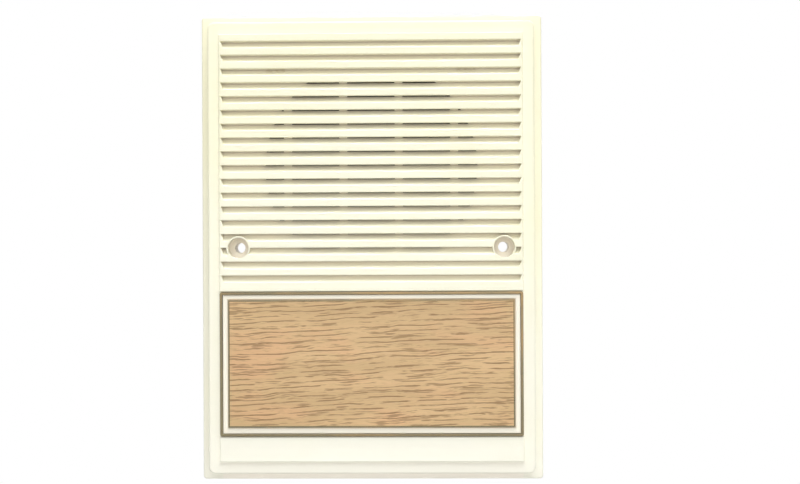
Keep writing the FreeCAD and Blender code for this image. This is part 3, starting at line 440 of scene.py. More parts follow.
def printed_oak():
    oak = Finish("printed_oak", (0.62, 0.43, 0.24), 0.42, Specular_IOR_Level=0.4)
    along = bent_place(oak)
    bands = oak.span(oak.noise((12, 12, 95), place=along), 0.36, 0.64)
    blush = oak.span(oak.noise((28, 28, 75), detail=2), 0.50, 0.68, 0.0, 0.65)
    ground = oak.mixed(blush, oak.mixed(bands, TAN, HONEY), BLUSH)

    rings = oak.wave(LINE_PITCH, along, {"Distortion": 0.0, "Detail": 0.0}, bands_direction="Z")
    line = oak.span(rings, 0.82, 0.96)
    stretch = oak.span(oak.noise((75, 75, 430), rough=0.6, place=along), 0.445, 0.52)
    loose = oak.span(oak.noise((90, 90, 1300), detail=2, place=along), 0.59, 0.65)
    streaks = oak.sums("MAXIMUM", oak.sums("MULTIPLY", line, stretch),
                       oak.sums("MULTIPLY", loose, 0.75))
    fibre = oak.span(oak.noise((140, 140, 2600), place=along), 0.45, 0.75)
    pores = oak.span(oak.noise((230, 230, 2000), detail=1, place=along), 0.60, 0.70)
    grain = oak.mixed(oak.sums("MULTIPLY", fibre, 0.30), ground, FIBRE)
    grain = oak.mixed(oak.sums("MULTIPLY", pores, 0.35), grain, PORE)
    oak.colour(oak.mixed(oak.sums("MULTIPLY", streaks, 0.90), grain, STREAK))
    oak.gloss(oak.span(streaks, 0.0, 1.0, 0.40, 0.55))
    oak.emboss(oak.sums("ADD", streaks, oak.sums("MULTIPLY", pores, 0.5)), -0.03 * MM)
    return oak.material


FINISHES["woodgrain"] = printed_oak()
print("growth lines every", round(LINE_PITCH / MM, 1), "mm")

# %% [markdown]
# ## Gilt
# The band is a stamped strip with a gilt skin, and the fine line beside the wood is gilt foil.
# Fingers and cleaning have dulled both to an olive bronze, most at the left and below, where a
# hand reaches for the plate's edge. A slope across the plate is added to the clouds of tarnish,
# so some warm gold is left at the upper right.

# %% Gilt
WARM_GOLD, OLIVE_BRONZE, FLECK = (0.185, 0.132, 0.069), (0.172, 0.148, 0.092), (0.11, 0.095, 0.065)
WORN_MOST, WORN_LEAST = -130 * MM, 10 * MM


def gilt():
    gold = Finish("gilt", (0.42, 0.32, 0.16), 0.36, 1.0)
    clouds = gold.span(gold.noise((45, 45, 45), detail=4), 0.38, 0.66)
    slope = gold.sums("ADD", gold.axis("X"), gold.sums("MULTIPLY", gold.axis("Z"), 2.0))
    tarnish = gold.sums("ADD", clouds, gold.span(slope, WORN_MOST, WORN_LEAST, 0.45, -0.25))
    worn = gold.mixed(tarnish, WARM_GOLD, OLIVE_BRONZE)
    flecks = gold.span(gold.even(1.3 * MM, detail=4), 0.56, 0.68, 0.0, 0.4)
    gold.colour(gold.mixed(flecks, worn, FLECK))
    gold.gloss(gold.span(tarnish, 0.0, 1.0, 0.30, 0.48))
    gold.emboss(gold.even(0.8 * MM), 0.02 * MM)
    return gold.material


FINISHES["gilt_metal"] = gilt()
print("gilt nodes:", len(FINISHES["gilt_metal"].node_tree.nodes))

# %% [markdown]
# ## Metals behind the plate
# Zinc-plated steel is grey with a faint yellow bloom, and pressed parts keep fine scratches.
# Brass rivets, tinned tags and copper differ mostly in colour, so one recipe serves them all,
# with the bloom and the scratches as its varying parts. Plates that were turned on a lathe also
# keep fine rings from the tool, all centred on the loudspeaker's axis.

# %% Metals
def plated(name, bright, dull, rough, ring_pitch=None):
    metal = Finish(name, bright, rough, 1.0)
    bloom = metal.span(metal.even(9 * MM, detail=5, rough=0.6), 0.36, 0.66)
    metal.colour(metal.mixed(bloom, bright, dull))
    scratches = metal.noise((60, 60, 900), detail=4)
    speckle = metal.even(0.7 * MM)
    metal.gloss(metal.span(metal.sums("MULTIPLY", scratches, speckle), 0.1, 0.4,
                           rough - 0.08, rough + 0.14))
    metal.emboss(scratches, 0.01 * MM)
    metal.emboss(speckle, 0.008 * MM)
    if ring_pitch:
        centred = metal.add("ShaderNodeMapping", {
            "Vector": metal.place, "Location": (0, 0, -SPEAKER_UP)}).outputs[0]
        metal.emboss(metal.wave(ring_pitch, centred, {"Distortion": 0.4, "Detail": 1.0},
                                wave_type="RINGS", rings_direction="Y"), 0.012 * MM)
    return metal.material


make_finishes(plated, {
    "plated_steel": ((0.56, 0.55, 0.52), (0.47, 0.46, 0.42), 0.34),
    "zinc_steel": ((0.70, 0.69, 0.66), (0.50, 0.48, 0.42), 0.28),
    "brass": ((0.76, 0.58, 0.28), (0.50, 0.36, 0.17), 0.30),
    "tinned_brass": ((0.76, 0.74, 0.68), (0.56, 0.54, 0.48), 0.30),
    "copper": ((0.80, 0.44, 0.26), (0.48, 0.22, 0.12), 0.32),
})
turned_steel = plated("turned_steel", (0.50, 0.49, 0.47), (0.43, 0.42, 0.39), 0.30,
                      ring_pitch=0.55 * MM)

# %% [markdown]
# ## Papers, cloth and plastics behind the plate
# The cone is felted grey paper, its edge a doped black cloth and the spider a cloth stiffened
# with amber resin. Each has a felt or a weave as its bump, at its own scale. Pressed card and
# dull ferrite take the felt too, one for its fibres and the other for its fine grains. The
# laminated tag board, moulded black, soft vinyl and dried glue are dense: they get a fine skin.
# Threads of less than a millimetre could be modelled, but from here a bump looks the same.

# %% Felt and weave
def felted(name, light, dark, fibre, depth, rough):
    """A matt stuff of fibres or grains; fibre is how large they are, in metres."""
    felt = Finish(name, light, rough, Specular_IOR_Level=0.25)
    fuzz = felt.even(fibre, detail=5, rough=0.7)
    patch = felt.span(felt.even(12 * MM), 0.35, 0.7, 0.0, 0.6)
    mottled = felt.mixed(felt.span(fuzz, 0.35, 0.65), light, dark)
    felt.colour(felt.mixed(patch, mottled, dark))
    felt.emboss(fuzz, depth)
    return felt.material


def woven(name, thread, gap, count, depth, rough):
    """Crossed threads; count is how many there are per metre."""
    cloth = Finish(name, thread, rough, Specular_IOR_Level=0.3)
    ways = [cloth.wave(1 / count, cloth.place, {"Distortion": 0.6, "Detail Scale": 3.0},
                       bands_direction=direction) for direction in ("X", "Z")]
    weave = cloth.sums("MAXIMUM", *ways)
    cloth.colour(cloth.mixed(weave, gap, thread))
    cloth.gloss(cloth.span(cloth.even(3 * MM), 0.3, 0.7, rough - 0.15, rough + 0.1))
    cloth.emboss(weave, depth)
    return cloth.material


make_finishes(felted, {
    "ferrite": ((0.060, 0.060, 0.064), (0.028, 0.028, 0.030), 0.4 * MM, 0.03 * MM, 0.55),
    "card": ((0.20, 0.19, 0.17), (0.12, 0.11, 0.10), 0.5 * MM, 0.03 * MM, 0.9),
    "cone_paper": ((0.115, 0.108, 0.102), (0.062, 0.058, 0.055), 0.6 * MM, 0.05 * MM, 0.9),
})
make_finishes(woven, {
    "black_cloth": ((0.045, 0.045, 0.046), (0.012, 0.012, 0.012), 1300, 0.05 * MM, 0.8),
    "amber_cloth": ((0.52, 0.31, 0.10), (0.24, 0.12, 0.03), 1000, 0.06 * MM, 0.6),
})


# %% Dense plastics
def moulded(name, colour, blotch, rough):
    """A dense plastic with a fine skin and slight colour blotches."""
    plastic = Finish(name, colour, rough, Specular_IOR_Level=0.5)
    cloud = plastic.span(plastic.even(7 * MM, detail=4), 0.35, 0.7)
    plastic.colour(plastic.mixed(cloud, colour, blotch))
    skin = plastic.even(1.5 * MM, detail=4)
    plastic.gloss(plastic.span(skin, 0.3, 0.7, rough - 0.08, rough + 0.1))
    plastic.emboss(plastic.even(0.35 * MM, detail=2), 0.01 * MM)
    return plastic.material


make_finishes(moulded, {
    "brown_card": ((0.21, 0.095, 0.036), (0.13, 0.055, 0.022), 0.42),
    "black_plastic": ((0.026, 0.026, 0.027), (0.040, 0.039, 0.037), 0.36),
    "wire_insulation": ((0.70, 0.67, 0.58), (0.58, 0.54, 0.44), 0.40),
})
dried_glue = moulded("dried_glue", (0.17, 0.085, 0.028), (0.10, 0.048, 0.016), 0.22)
print("slots with a finish:", len(FINISHES))

# %% [markdown]
# ## Real edges
# A solid from CAD has edges of no width, which never catch the light as moulded or pressed
# edges do. Each solid's triangles are welded and joined in pairs, its outward edges are bevelled
# by the width that its material would have, and the result stands for the solid. Inward edges
# stay sharp, because a step's foot is where the shade is darkest. A face that bends into no
# neighbour is marked flat, so a large wall never borrows the slant of a bevel beside it. Every
# measured face keeps its place, so nothing needs fitting afterwards. The Bevel modifier cuts
# the same bevels, but by angle alone it can't tell outward edges from inward ones.

# %% Soften a solid
WELD = 0.002 * MM
FLAT = math.radians(0.2)
SQUARE_ENOUGH = math.radians(60)
SMOOTH_TURN = 32.0
SHARP_TURN = 35.0
BEND = (math.radians(0.5), math.radians(SMOOTH_TURN))


def solid_copy(node):
    """A CAD solid's mesh, with its triangles joined in pairs where they lie flat."""
    copy = bmesh.new()
    copy.from_mesh(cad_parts[node].data)
    bmesh.ops.remove_doubles(copy, verts=copy.verts, dist=WELD)
    bmesh.ops.join_triangles(copy, faces=copy.faces, angle_face_threshold=FLAT,
                             angle_shape_threshold=SQUARE_ENOUGH)
    for face in copy.faces:
        turns = [edge.calc_face_angle(0) for edge in face.edges]
        face.smooth = any(BEND[0] < turn < BEND[1] for turn in turns)
    return copy


def break_edges(mesh, width, turn=SHARP_TURN, steps=2, chosen=None):
    """Bevels the outward edges that turn by more than an angle; only the bevels turn smooth."""
    sharp = [edge for edge in mesh.edges
             if edge.calc_face_angle_signed(0) > math.radians(turn)
             and (chosen is None or chosen(edge))]
    bmesh.ops.bevel(mesh, geom=sharp, offset=width, segments=steps, profile=0.5,
                    affect="EDGES", clamp_overlap=False, material=1)
    for face in mesh.faces:
        if face.material_index == 1:
            face.smooth = True
            face.material_index = 0


sample = solid_copy("front_cover")
print("front_cover faces:", len(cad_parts["front_cover"].data.polygons),
      "and joined:", len(sample.faces))
sample.free()


# %% Turn a mesh into a piece
def piece(name, mesh, body, slot, nodes=(), smooth=SMOOTH_TURN, finish=None, flats=False):
    """Turns a bmesh into a piece that rides on a body and stands for CAD nodes.

    Neighbours shade as one up to the smooth angle. With flats, faces that aren't marked
    smooth stay flat; without, all of them are smooth.
    """
    data = bpy.data.meshes.new(name)
    mesh.normal_update()
    mesh.to_mesh(data)
    mesh.free()
    curved = [side.use_smooth or not flats for side in data.polygons]
    data.set_sharp_from_angle(angle=math.radians(smooth))
    data.polygons.foreach_set("use_smooth", curved)
    data.materials.append(finish or FINISHES[slot])
    made = new_object(name, data)
    weighted = made.modifiers.new("even_shading", "WEIGHTED_NORMAL")
    weighted.keep_sharp = True
    if body:
        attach(made, body)
    if nodes:
        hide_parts(*nodes)
    print(name, "faces:", len(data.polygons))
    return made


def softened(node, width, slot, steps=2, finish=None):
    """A CAD solid with broken edges, shown in its place."""
    copy = solid_copy(node)
    break_edges(copy, width, steps=steps)
    return piece(node + "_piece", copy, "station", slot, (node,), finish=finish, flats=True)


print("neighbours shade as one up to", SMOOTH_TURN, "degrees")

# %% [markdown]
# ## The plate and its insert
# The moulded plate has edges of about a quarter millimetre, softer than they look in a drawing.
# The tray's low bead is already round in the solid and only needs its corners broken, and the
# gilt band and the wood-faced plate are stamped parts with crisper edges.

# %% Plate and insert
softened("front_cover", 0.22 * MM, "cream_plastic")
softened("insert_tray", 0.12 * MM, "cream_plastic", finish=tray_plastic)
softened("gold_trim", 0.15 * MM, "gilt_metal")
softened("woodgrain_plate", 0.10 * MM, "woodgrain")

# %% [markdown]
# A second, finer gilt line runs round the wood, where the foil was pressed over the plate's own
# edge. It could be a stripe in the wood's finish, but a real edge catches the light. So it is a
# thin frame that sits on the plate's rim and stands only as proud as foil does. Its mesh is
# four rings of corners, joined by walls, and the helper that joins them serves the lathe, the
# wires and the glue below as well.

# %% Gilt line beside the wood
LINE_WIDE = 0.65 * MM
LINE_RISE = 0.06 * MM


def join_rings(mesh, rings, closed=True):
    """Walls between neighbouring rings of points; an open row of rings gets two lids."""
    following = rings[1:] + rings[:1] if closed else rings[1:]
    for ring, after in zip(rings, following):
        for index in range(len(ring)):
            ahead = (index + 1) % len(ring)
            mesh.faces.new([ring[index], ring[ahead], after[ahead], after[index]])
    if not closed:
        mesh.faces.new(rings[0][::-1])
        mesh.faces.new(rings[-1])


def flat_frame(low, high, wide, front, back):
    """A rectangular frame in the plane of the wall, from its outer corners."""
    mesh = bmesh.new()
    rings = []
    for inset, y in ((0.0, front), (wide, front), (wide, back), (0.0, back)):
        corners = [(low.x + inset, low.z + inset), (high.x - inset, low.z + inset),
                   (high.x - inset, high.z - inset), (low.x + inset, high.z - inset)]
        rings.append([mesh.verts.new((x, y, z)) for x, z in corners])
    join_rings(mesh, rings)
    bmesh.ops.recalc_face_normals(mesh, faces=mesh.faces)
    return mesh


wood_low, wood_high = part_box("woodgrain_plate")
line = flat_frame(wood_low, wood_high, LINE_WIDE, wood_low.y - LINE_RISE, wood_low.y + LINE_WIDE)
piece("gilt_line", line, "station", "gilt_metal")

# %% [markdown]
# ## The loudspeaker's metal and the small hardware
# Pressed steel has rolled edges, turned plates have a small chamfer, and ferrite is brittle, so
# its edge is blunter. The boards, tags and rivets only need their edges broken. One helper does
# them all, and only the width of the edge and the finish change from part to part.

# %% Metal, board and block
softened("speaker_basket", 0.18 * MM, "plated_steel")
softened("top_plate", 0.35 * MM, "plated_steel", finish=turned_steel)
softened("back_plate", 0.45 * MM, "plated_steel", steps=3, finish=turned_steel)
softened("pole_piece", 0.30 * MM, "plated_steel", finish=turned_steel)
softened("magnet", 0.60 * MM, "ferrite", steps=3)
softened("speaker_gasket", 0.15 * MM, "card")
softened("tag_board", 0.12 * MM, "brown_card")
softened("tag_rivet", 0.22 * MM, "brass")
softened("lug_rivets", 0.20 * MM, "brass")
softened("solder_lugs", 0.10 * MM, "tinned_brass")
softened("speaker_washers", 0.08 * MM, "zinc_steel")
softened("terminal_block", 0.25 * MM, "black_plastic")
softened("terminal_clamps", 0.12 * MM, "zinc_steel")

# %% [markdown]
# ## Pan heads
# A drawing shows a screw head as a plain disc, and a real one is domed. A wide bevel on the
# outer rim alone makes the dome, and the slot's edges get a much finer one, or the slot would
# melt away. A rim edge is told by its place: it lies in the head's outer face, and far from the
# nearest screw's axis. The axes follow from the box that the screws fill.

# %% Pan-head screws
SLOT_BREAK, SLOT_TURN = 0.08 * MM, 60
FACE_NEAR = 0.05 * MM
RIM_SHARE = 0.93


def pan_heads(node, dome, head_wide=None):
    """Domes the screw heads of a node; one row of screws is as high as its heads are wide."""
    low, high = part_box(node)
    reach = (head_wide or high.z - low.z) / 2
    axes = [(x, z) for x in (low.x + reach, high.x - reach)
            for z in (low.z + reach, high.z - reach)]
    copy = solid_copy(node)

    def on_rim(edge):
        for corner in edge.verts:
            place = corner.co
            away = min(math.hypot(place.x - x, place.z - z) for x, z in axes)
            if place.y < high.y - FACE_NEAR or away < RIM_SHARE * reach:
                return False
        return True

    break_edges(copy, dome, steps=4, chosen=on_rim)
    break_edges(copy, SLOT_BREAK, turn=SLOT_TURN)
    return piece(node + "_piece", copy, "station", "zinc_steel", (node,), flats=True)


pan_heads("speaker_screws", 0.70 * MM, head_wide=SCREW_HEAD)
pan_heads("terminal_screws", 0.50 * MM)
pan_heads("block_screws", 0.60 * MM)


# %% [markdown]
# ## A lathe for the round soft parts
# Almost everything inside a loudspeaker is round, so one helper turns a half section about the
# speaker's axis. A section is a loop of (radius, y) corners, so each turned part has a real wall
# and no open side. The Screw modifier could do the same; plain rings of points were chosen
# because the wall, the pleats and the seam then all come from one short list.

# %% Lathe
def around(count):
    """Evenly spaced angles, once round."""
    return [2 * math.pi * step / count for step in range(count)]


def lathe(section, turns=96):
    """Turns a closed half section about the loudspeaker's axis."""
    mesh = bmesh.new()
    rings = [[mesh.verts.new((radius * math.cos(angle), y, SPEAKER_UP + radius * math.sin(angle)))
              for radius, y in section] for angle in around(turns)]
    join_rings(mesh, rings)
    bmesh.ops.remove_doubles(mesh, verts=mesh.verts, dist=WELD)
    bmesh.ops.recalc_face_normals(mesh, faces=mesh.faces)
    return mesh


def walled(front, thick):
    """A closed section from its front line: the same line comes back behind it."""
    return front + [(radius, y + thick) for radius, y in reversed(front)]


sample = lathe(walled([(10 * MM, 0.0), (20 * MM, 0.0)], 1 * MM), turns=12)
print("a plain ring of 12 turns has faces:", len(sample.faces))
sample.free()

# %% [markdown]
# ## The cone and its cap
# The cone is pressed from wet paper felt. It flares like a trumpet, and the press leaves a few
# rings near its lip that stiffen it. A flat lip carries the cloth edge, a short collar fits the
# coil former, and a domed paper cap keeps dust out of the gap. The dome's ball has the radius
# that fits its width and its height.

# %% Cone
cone_low, cone_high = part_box("speaker_cone")
PAPER = 0.6 * MM
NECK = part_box("voice_coil_former")[1].x
LIP_OUT = cone_high.x
LIP_IN = LIP_OUT - 1.8 * MM
COLLAR = 1.2 * MM
FLARE = 1.25
CONE_STEPS = 60
RIDGES, RIDGE_HALF = 4, 0.18 * MM
RIDGE_FROM, RIDGE_TO = 0.62, 0.94
neck_y = cone_high.y - COLLAR
cone_front = []
for step in range(CONE_STEPS + 1):
    share = 1 - step / CONE_STEPS
    radius = NECK + (LIP_IN - NECK) * share ** FLARE
    within = min(max((share - RIDGE_FROM) / (RIDGE_TO - RIDGE_FROM), 0.0), 1.0)
    ridge = RIDGE_HALF * (1 - math.cos(2 * math.pi * RIDGES * within))
    cone_front.append((radius, neck_y + (cone_low.y - neck_y) * share + ridge))
collar = [(NECK, cone_high.y), (NECK + PAPER, cone_high.y)]
cone_back = [(radius + PAPER / 2, y + PAPER) for radius, y in reversed(cone_front[:-1])]
section = [(LIP_OUT, cone_low.y), *cone_front, *collar, *cone_back, (LIP_OUT, cone_low.y + PAPER)]
piece("cone_paper_piece", lathe(section), "cone_assembly", "cone_paper", ("speaker_cone",))

# %% Dust cap
cap_low, cap_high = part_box("dust_cap")
CAP_PAPER = 0.4 * MM
CAP_STEPS = 16
cap_rise = cap_high.y - cap_low.y
cap_ball = (cap_high.x ** 2 + cap_rise ** 2) / (2 * cap_rise)
ball_y = cap_low.y + cap_ball
dome = []
for ball, way in ((cap_ball, 1), (cap_ball - CAP_PAPER, -1)):
    widest = math.acos((ball_y - cap_high.y) / ball)
    leans = [widest * step / CAP_STEPS for step in range(CAP_STEPS + 1)]
    dome += [(ball * math.sin(lean), ball_y - ball * math.cos(lean)) for lean in leans[::way]]
piece("dust_cap_piece", lathe(dome, turns=72), "cone_assembly", "cone_paper", ("dust_cap",))
print("cap ball radius mm:", round(cap_ball / MM, 1))


# %% [markdown]
# ## Cloth that lets the cone move
# The edge of the cone hangs in a ring of doped cloth with rolled pleats, and a stiffer amber disc,
# the spider, centres the coil. Both are held by the steel frame outside and by the moving cone
# inside. Here each is turned in place and rides on no body.

# %% Surround
def pleats(outer, inner, y_outer, y_inner, count, swell):
    """A front line that waves between two radii; the waves die out near both ends."""
    points = count * 12
    line = []
    for step in range(points + 1):
        share = step / points
        fade = min(1.0, 5 * share, 5 * (1 - share))
        wave = swell * fade * math.sin(2 * math.pi * count * share)
        radius = outer + (inner - outer) * share
        line.append((radius, y_outer + (y_inner - y_outer) * share + wave))
    return line


edge_low, edge_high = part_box("cone_surround")
EDGE_CLOTH = 0.35 * MM
RIM_MOUTH = 46.0 * MM
edge_front = [(edge_high.x, edge_low.y)]
edge_front += pleats(RIM_MOUTH, LIP_OUT, edge_low.y, edge_high.y - EDGE_CLOTH,
                     count=3, swell=0.55 * MM)
edge_front += [(LIP_IN, edge_high.y - EDGE_CLOTH)]
surround = piece("surround_piece", lathe(walled(edge_front, EDGE_CLOTH)), None, "black_cloth",
                 ("cone_surround",))
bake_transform(surround)

# %% Spider
spider_low, spider_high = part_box("spider")
SPIDER_CLOTH = 0.4 * MM
LEDGE = 22.5 * MM
SPIDER_COLLAR = 0.8 * MM
spider_front = [(spider_high.x, spider_low.y)]
spider_front += pleats(LEDGE, NECK + SPIDER_COLLAR, spider_low.y, spider_high.y - SPIDER_CLOTH,
                       count=5, swell=0.60 * MM)
spider_front += [(NECK, spider_high.y - SPIDER_CLOTH)]
spider = piece("spider_piece", lathe(walled(spider_front, SPIDER_CLOTH)), None, "amber_cloth",
               ("spider",))
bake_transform(spider)

# %% [markdown]
# ## The voice coil
# The coil is a single layer of enamelled copper, side by side on its former. At this size each
# turn is only a ripple, so the lathe cuts the ripples as a wave down the outer wall. A wire
# wound as a helix would be truer, and cost many faces that nobody sees.

# %% Voice coil
coil_low, coil_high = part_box("voice_coil_winding")
TURN_PITCH = 0.25 * MM
RIPPLE_HALF = 0.05 * MM
turns_shown = round((coil_high.y - coil_low.y) / TURN_PITCH)
ripple = []
for step in range(4 * turns_shown + 1):
    dip = RIPPLE_HALF * (1 + math.cos(math.pi * step / 2))
    ripple.append((coil_high.x - dip, coil_low.y + step * TURN_PITCH / 4))
coil = ripple + [(NECK, coil_high.y), (NECK, coil_low.y)]
piece("winding_piece", lathe(coil, turns=64), "cone_assembly", "copper", ("voice_coil_winding",),
      smooth=50)
print("turns on the coil:", turns_shown)


# %% [markdown]
# ## Rods, wires and braids
# A wire is a circle swept along a route. The route starts as a few corners; cutting them off
# again and again leaves one smooth line, as a wire takes when it is bent by hand. The circle is
# carried along without twisting. A curve with a round bevel would do for the plain wires, but
# the two braids that feed the coil are woven copper, and the same sweep makes them too, with
# strands as bumps that wind round it.

# %% Sweep
STRAND_DEPTH = 0.18


def rounded_route(corners):
    """Cuts every corner off four times, a quarter of the way from each."""
    line = [Vector(corner) for corner in corners]
    for _ in range(4):
        cut = [line[0]]
        for first, second in zip(line, line[1:]):
            cut += [first.lerp(second, 0.25), first.lerp(second, 0.75)]
        line = cut + [line[-1]]
    return line


def sweep(mesh, route, radius, sides, strands=0, lay=1.0):
    """Adds a rod along a route; strands winding with a lay make it a rope."""
    side = None
    walked = 0.0
    rings = []
    for index, point in enumerate(route):
        before, after = route[max(index - 1, 0)], route[min(index + 1, len(route) - 1)]
        way = (after - before).normalized()
        side = way.orthogonal() if side is None else side - way * side.dot(way)
        side.normalize()
        other = way.cross(side)
        walked += (point - before).length
        ring = []
        for angle in around(sides):
            swell = 1.0
            if strands:
                bump = abs(math.cos(strands * angle / 2 + math.pi * walked / lay))
                swell = 1 - STRAND_DEPTH + STRAND_DEPTH * bump
            ring.append(mesh.verts.new(point + (side * math.cos(angle) + other * math.sin(angle))
                                       * radius * swell))
        rings.append(ring)
    join_rings(mesh, rings, closed=False)


print("a bend of three corners becomes", len(rounded_route([(0, 0, 0), (1, 0, 0), (1, 1, 0)])),
      "points")

# %% Braids from the cone to the lugs
lug_low, lug_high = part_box("solder_lugs")
braid_low, braid_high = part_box("tinsel_leads")
BRAID = 1.0 * MM
LUG_SIDE = braid_high.x - BRAID / 2
foot_y, foot_z = braid_low.y + 0.44 * MM, braid_high.z - 0.22 * MM
low_z = braid_low.z + BRAID / 2
lug_z = lug_high.z - 1.2 * MM
braid_mesh = bmesh.new()
for x in (-LUG_SIDE, LUG_SIDE):
    route = rounded_route([
        (x, foot_y, foot_z), (x, foot_y + BRAID, foot_z - 2 * BRAID),
        (x, foot_y + 3.1 * BRAID, low_z), (x, foot_y + 6.1 * BRAID, low_z),
        (x, foot_y + 9.6 * BRAID, lug_z - BRAID), (x, lug_low.y - 2 * BRAID, lug_z),
        (x, lug_low.y, lug_z)])
    sweep(braid_mesh, route, BRAID / 2, sides=18, strands=6, lay=1.1 * MM)
bmesh.ops.recalc_face_normals(braid_mesh, faces=braid_mesh.faces)
braids = piece("braid_pieces", braid_mesh, None, "copper", ("tinsel_leads",), smooth=60)
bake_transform(braids)

# %% Wires from the lugs to the terminals
wire_low, wire_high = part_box("lead_wires")
WIRE = 1.6 * MM
rear_y, near_y = wire_high.y - WIRE / 2, wire_low.y + WIRE / 2
drop = wire_high.z - 24 * MM
wires = bmesh.new()
for sign in (-1, 1):
    x, end_x = sign * LUG_SIDE, sign * (wire_high.x - WIRE / 2)
    route = rounded_route([
        (x, rear_y, wire_high.z), (x, rear_y, wire_high.z - 12 * MM),
        (x, (3 * rear_y + near_y) / 4, drop),
        (end_x, near_y + 2 * WIRE, (drop + wire_low.z) / 2 - WIRE),
        (end_x, near_y, wire_low.z + 2 * WIRE), (end_x, near_y, wire_low.z)])
    sweep(wires, route, WIRE / 2, sides=20)
bmesh.ops.recalc_face_normals(wires, faces=wires.faces)
piece("wire_pieces", wires, "station", "wire_insulation", ("lead_wires",), smooth=50)

# %% [markdown]
# ## Solder and glue
# A drawing leaves out solder and glue, and without them the inside looks like a toy. Solder is
# a ball pulled out over the wire and made uneven by noise. Glue is a thin ring laid in each
# corner where paper, cloth or steel were stuck together, thicker here and thinner there. Both
# could be sculpted by hand; noise gives the same unevenness again on every run.

# %% Solder
WIRE_DROP = (1.4 * MM, 1.35 * MM, 3.1 * MM)
BRAID_DROP = (1.3 * MM, 1.1 * MM, 1.4 * MM)
WIRE_END_UP = 2.9 * MM
STANDS_OFF = 0.1 * MM
LUMPS = 0.16


def uneven(place, grain, seed):
    """A smooth value from -1 to 1 for a place, the same on every run."""
    return noise.noise(Vector(place) / grain + Vector((seed, seed, seed)))


def solder_drop(mesh, centre, reach):
    ball = bmesh.ops.create_icosphere(mesh, subdivisions=4, radius=1.0)
    for corner in ball["verts"]:
        swell = 1 + LUMPS * uneven(corner.co, 0.8, seed=centre[2] / MM)
        corner.co = Vector([middle + size * way * swell
                            for middle, size, way in zip(centre, reach, corner.co)])


solder = bmesh.new()
for x in (-LUG_SIDE, LUG_SIDE):
    solder_drop(solder, (x, lug_high.y + STANDS_OFF, lug_low.z + WIRE_END_UP), WIRE_DROP)
    solder_drop(solder, (x, lug_low.y - STANDS_OFF, lug_z), BRAID_DROP)
piece("solder", solder, "station", "tinned_brass", smooth=80)

# %% Glue
GLUE_TURNS, GLUE_SIDES = 120, 10
GLUE_UNEVEN = 0.45
RIM_GLUE = 0.30 * MM


def glue_ring(mesh, radius, y, size, seed):
    rings = []
    for angle in around(GLUE_TURNS):
        across, up = math.cos(angle), math.sin(angle)
        fat = size * (1 + GLUE_UNEVEN * uneven((across, up, 0), 0.22, seed))
        ring = []
        for lean in around(GLUE_SIDES):
            reach = radius + fat * math.cos(lean)
            ring.append(mesh.verts.new((reach * across, y + fat * math.sin(lean),
                                        SPEAKER_UP + reach * up)))
        rings.append(ring)
    join_rings(mesh, rings)
    bmesh.ops.recalc_face_normals(mesh, faces=mesh.faces)


cone_glue = bmesh.new()
glue_ring(cone_glue, cap_high.x, cap_high.y, 0.45 * MM, 1.0)
glue_ring(cone_glue, LIP_IN, edge_high.y - EDGE_CLOTH / 2, 0.35 * MM, 2.0)
glue_ring(cone_glue, NECK + 0.1 * MM, spider_high.y, 0.40 * MM, 3.0)
piece("cone_glue", cone_glue, "cone_assembly", "brown_card", smooth=80, finish=dried_glue)

magnet_glue = bmesh.new()
glue_ring(magnet_glue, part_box("top_plate")[1].x, magnet_low.y, 0.35 * MM, 4.0)
glue_ring(magnet_glue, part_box("back_plate")[1].x, magnet_high.y, 0.35 * MM, 5.0)
glue_ring(magnet_glue, spider_high.x, spider_low.y + RIM_GLUE, RIM_GLUE, 6.0)
piece("magnet_glue", magnet_glue, "station", "brown_card", smooth=80, finish=dried_glue)

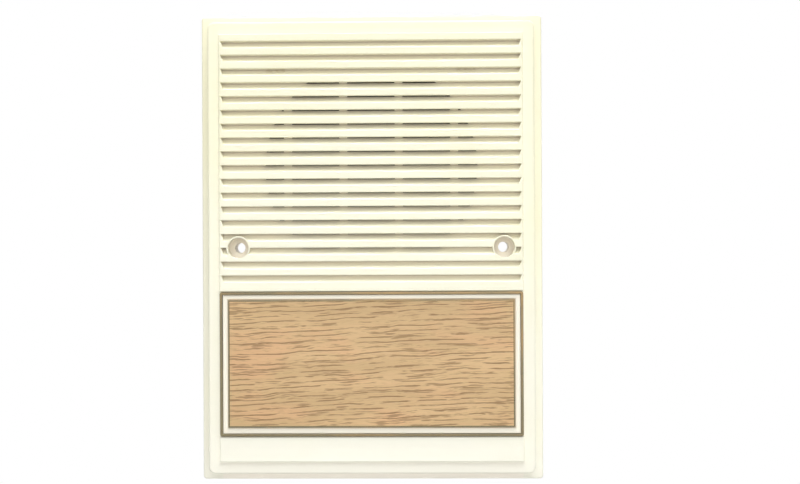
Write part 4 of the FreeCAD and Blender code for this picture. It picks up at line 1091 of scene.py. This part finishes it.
# %% [markdown]
# ## Ribs pressed into the frame's arms
# Thin steel bends, so the arms between the windows have a rib pressed into each. Its place is
# found by looking at the solid from behind: a ray hits the arm at each radius, and the rib's
# line joins the hits. A flat rod, thin at its ends, then lies half sunk in the steel. A boolean
# could melt it into the frame, but where the two meet a pressed rib has a crease all the same.

# %% Arm ribs
basket_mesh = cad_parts["speaker_basket"].data
basket_tree = BVHTree.FromPolygons([corner.co for corner in basket_mesh.vertices],
                                   [side.vertices for side in basket_mesh.polygons])
RIB_FROM, RIB_TO = 30.5 * MM, 44.0 * MM
RIB_WIDE, RIB_RISE = 1.5 * MM, 0.55 * MM
RIB_STEPS, RIB_SIDES = 24, 14
BEHIND = Vector((0, 80 * MM, SPEAKER_UP))


def arm_rib(mesh, angle):
    outward = Vector((math.cos(angle), 0, math.sin(angle)))
    beside = Vector((-math.sin(angle), 0, math.cos(angle)))
    rings = []
    for step in range(RIB_STEPS + 1):
        share = step / RIB_STEPS
        start = BEHIND + outward * (RIB_FROM + (RIB_TO - RIB_FROM) * share)
        hit, facing, _, _ = basket_tree.ray_cast(start, Vector((0, -1, 0)))
        swell = math.sqrt(max(math.sin(math.pi * share), 0.0)) + 0.02
        rings.append([mesh.verts.new(hit + beside * RIB_WIDE * swell * math.cos(lean)
                                     + facing * RIB_RISE * swell * math.sin(lean))
                      for lean in around(RIB_SIDES)])
    join_rings(mesh, rings, closed=False)


ribs = bmesh.new()
for quarter in range(4):
    arm_rib(ribs, math.radians(45 + 90 * quarter))
bmesh.ops.recalc_face_normals(ribs, faces=ribs.faces)
piece("arm_ribs", ribs, "station", "plated_steel", smooth=60)


# %% [markdown]
# ## Parts that are left as solids
# The coil former and the bared wire ends are already round where they should be, so they keep
# their meshes and only take a finish, written in the object's own material slot.

# %% Finish the remaining solids
def dress(node, slot):
    """Gives a CAD solid its finish without touching its mesh."""
    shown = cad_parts[node]
    shown.material_slots[0].link = "OBJECT"
    shown.material_slots[0].material = FINISHES[slot]
    print(node, "wears", slot)


dress("voice_coil_former", "brown_card")
dress("bare_wire_ends", "copper")

# %% [markdown]
# ## The dressed model's box
# The dressed model keeps to the drawing's box, and only the foil line stands a hair proud of it.
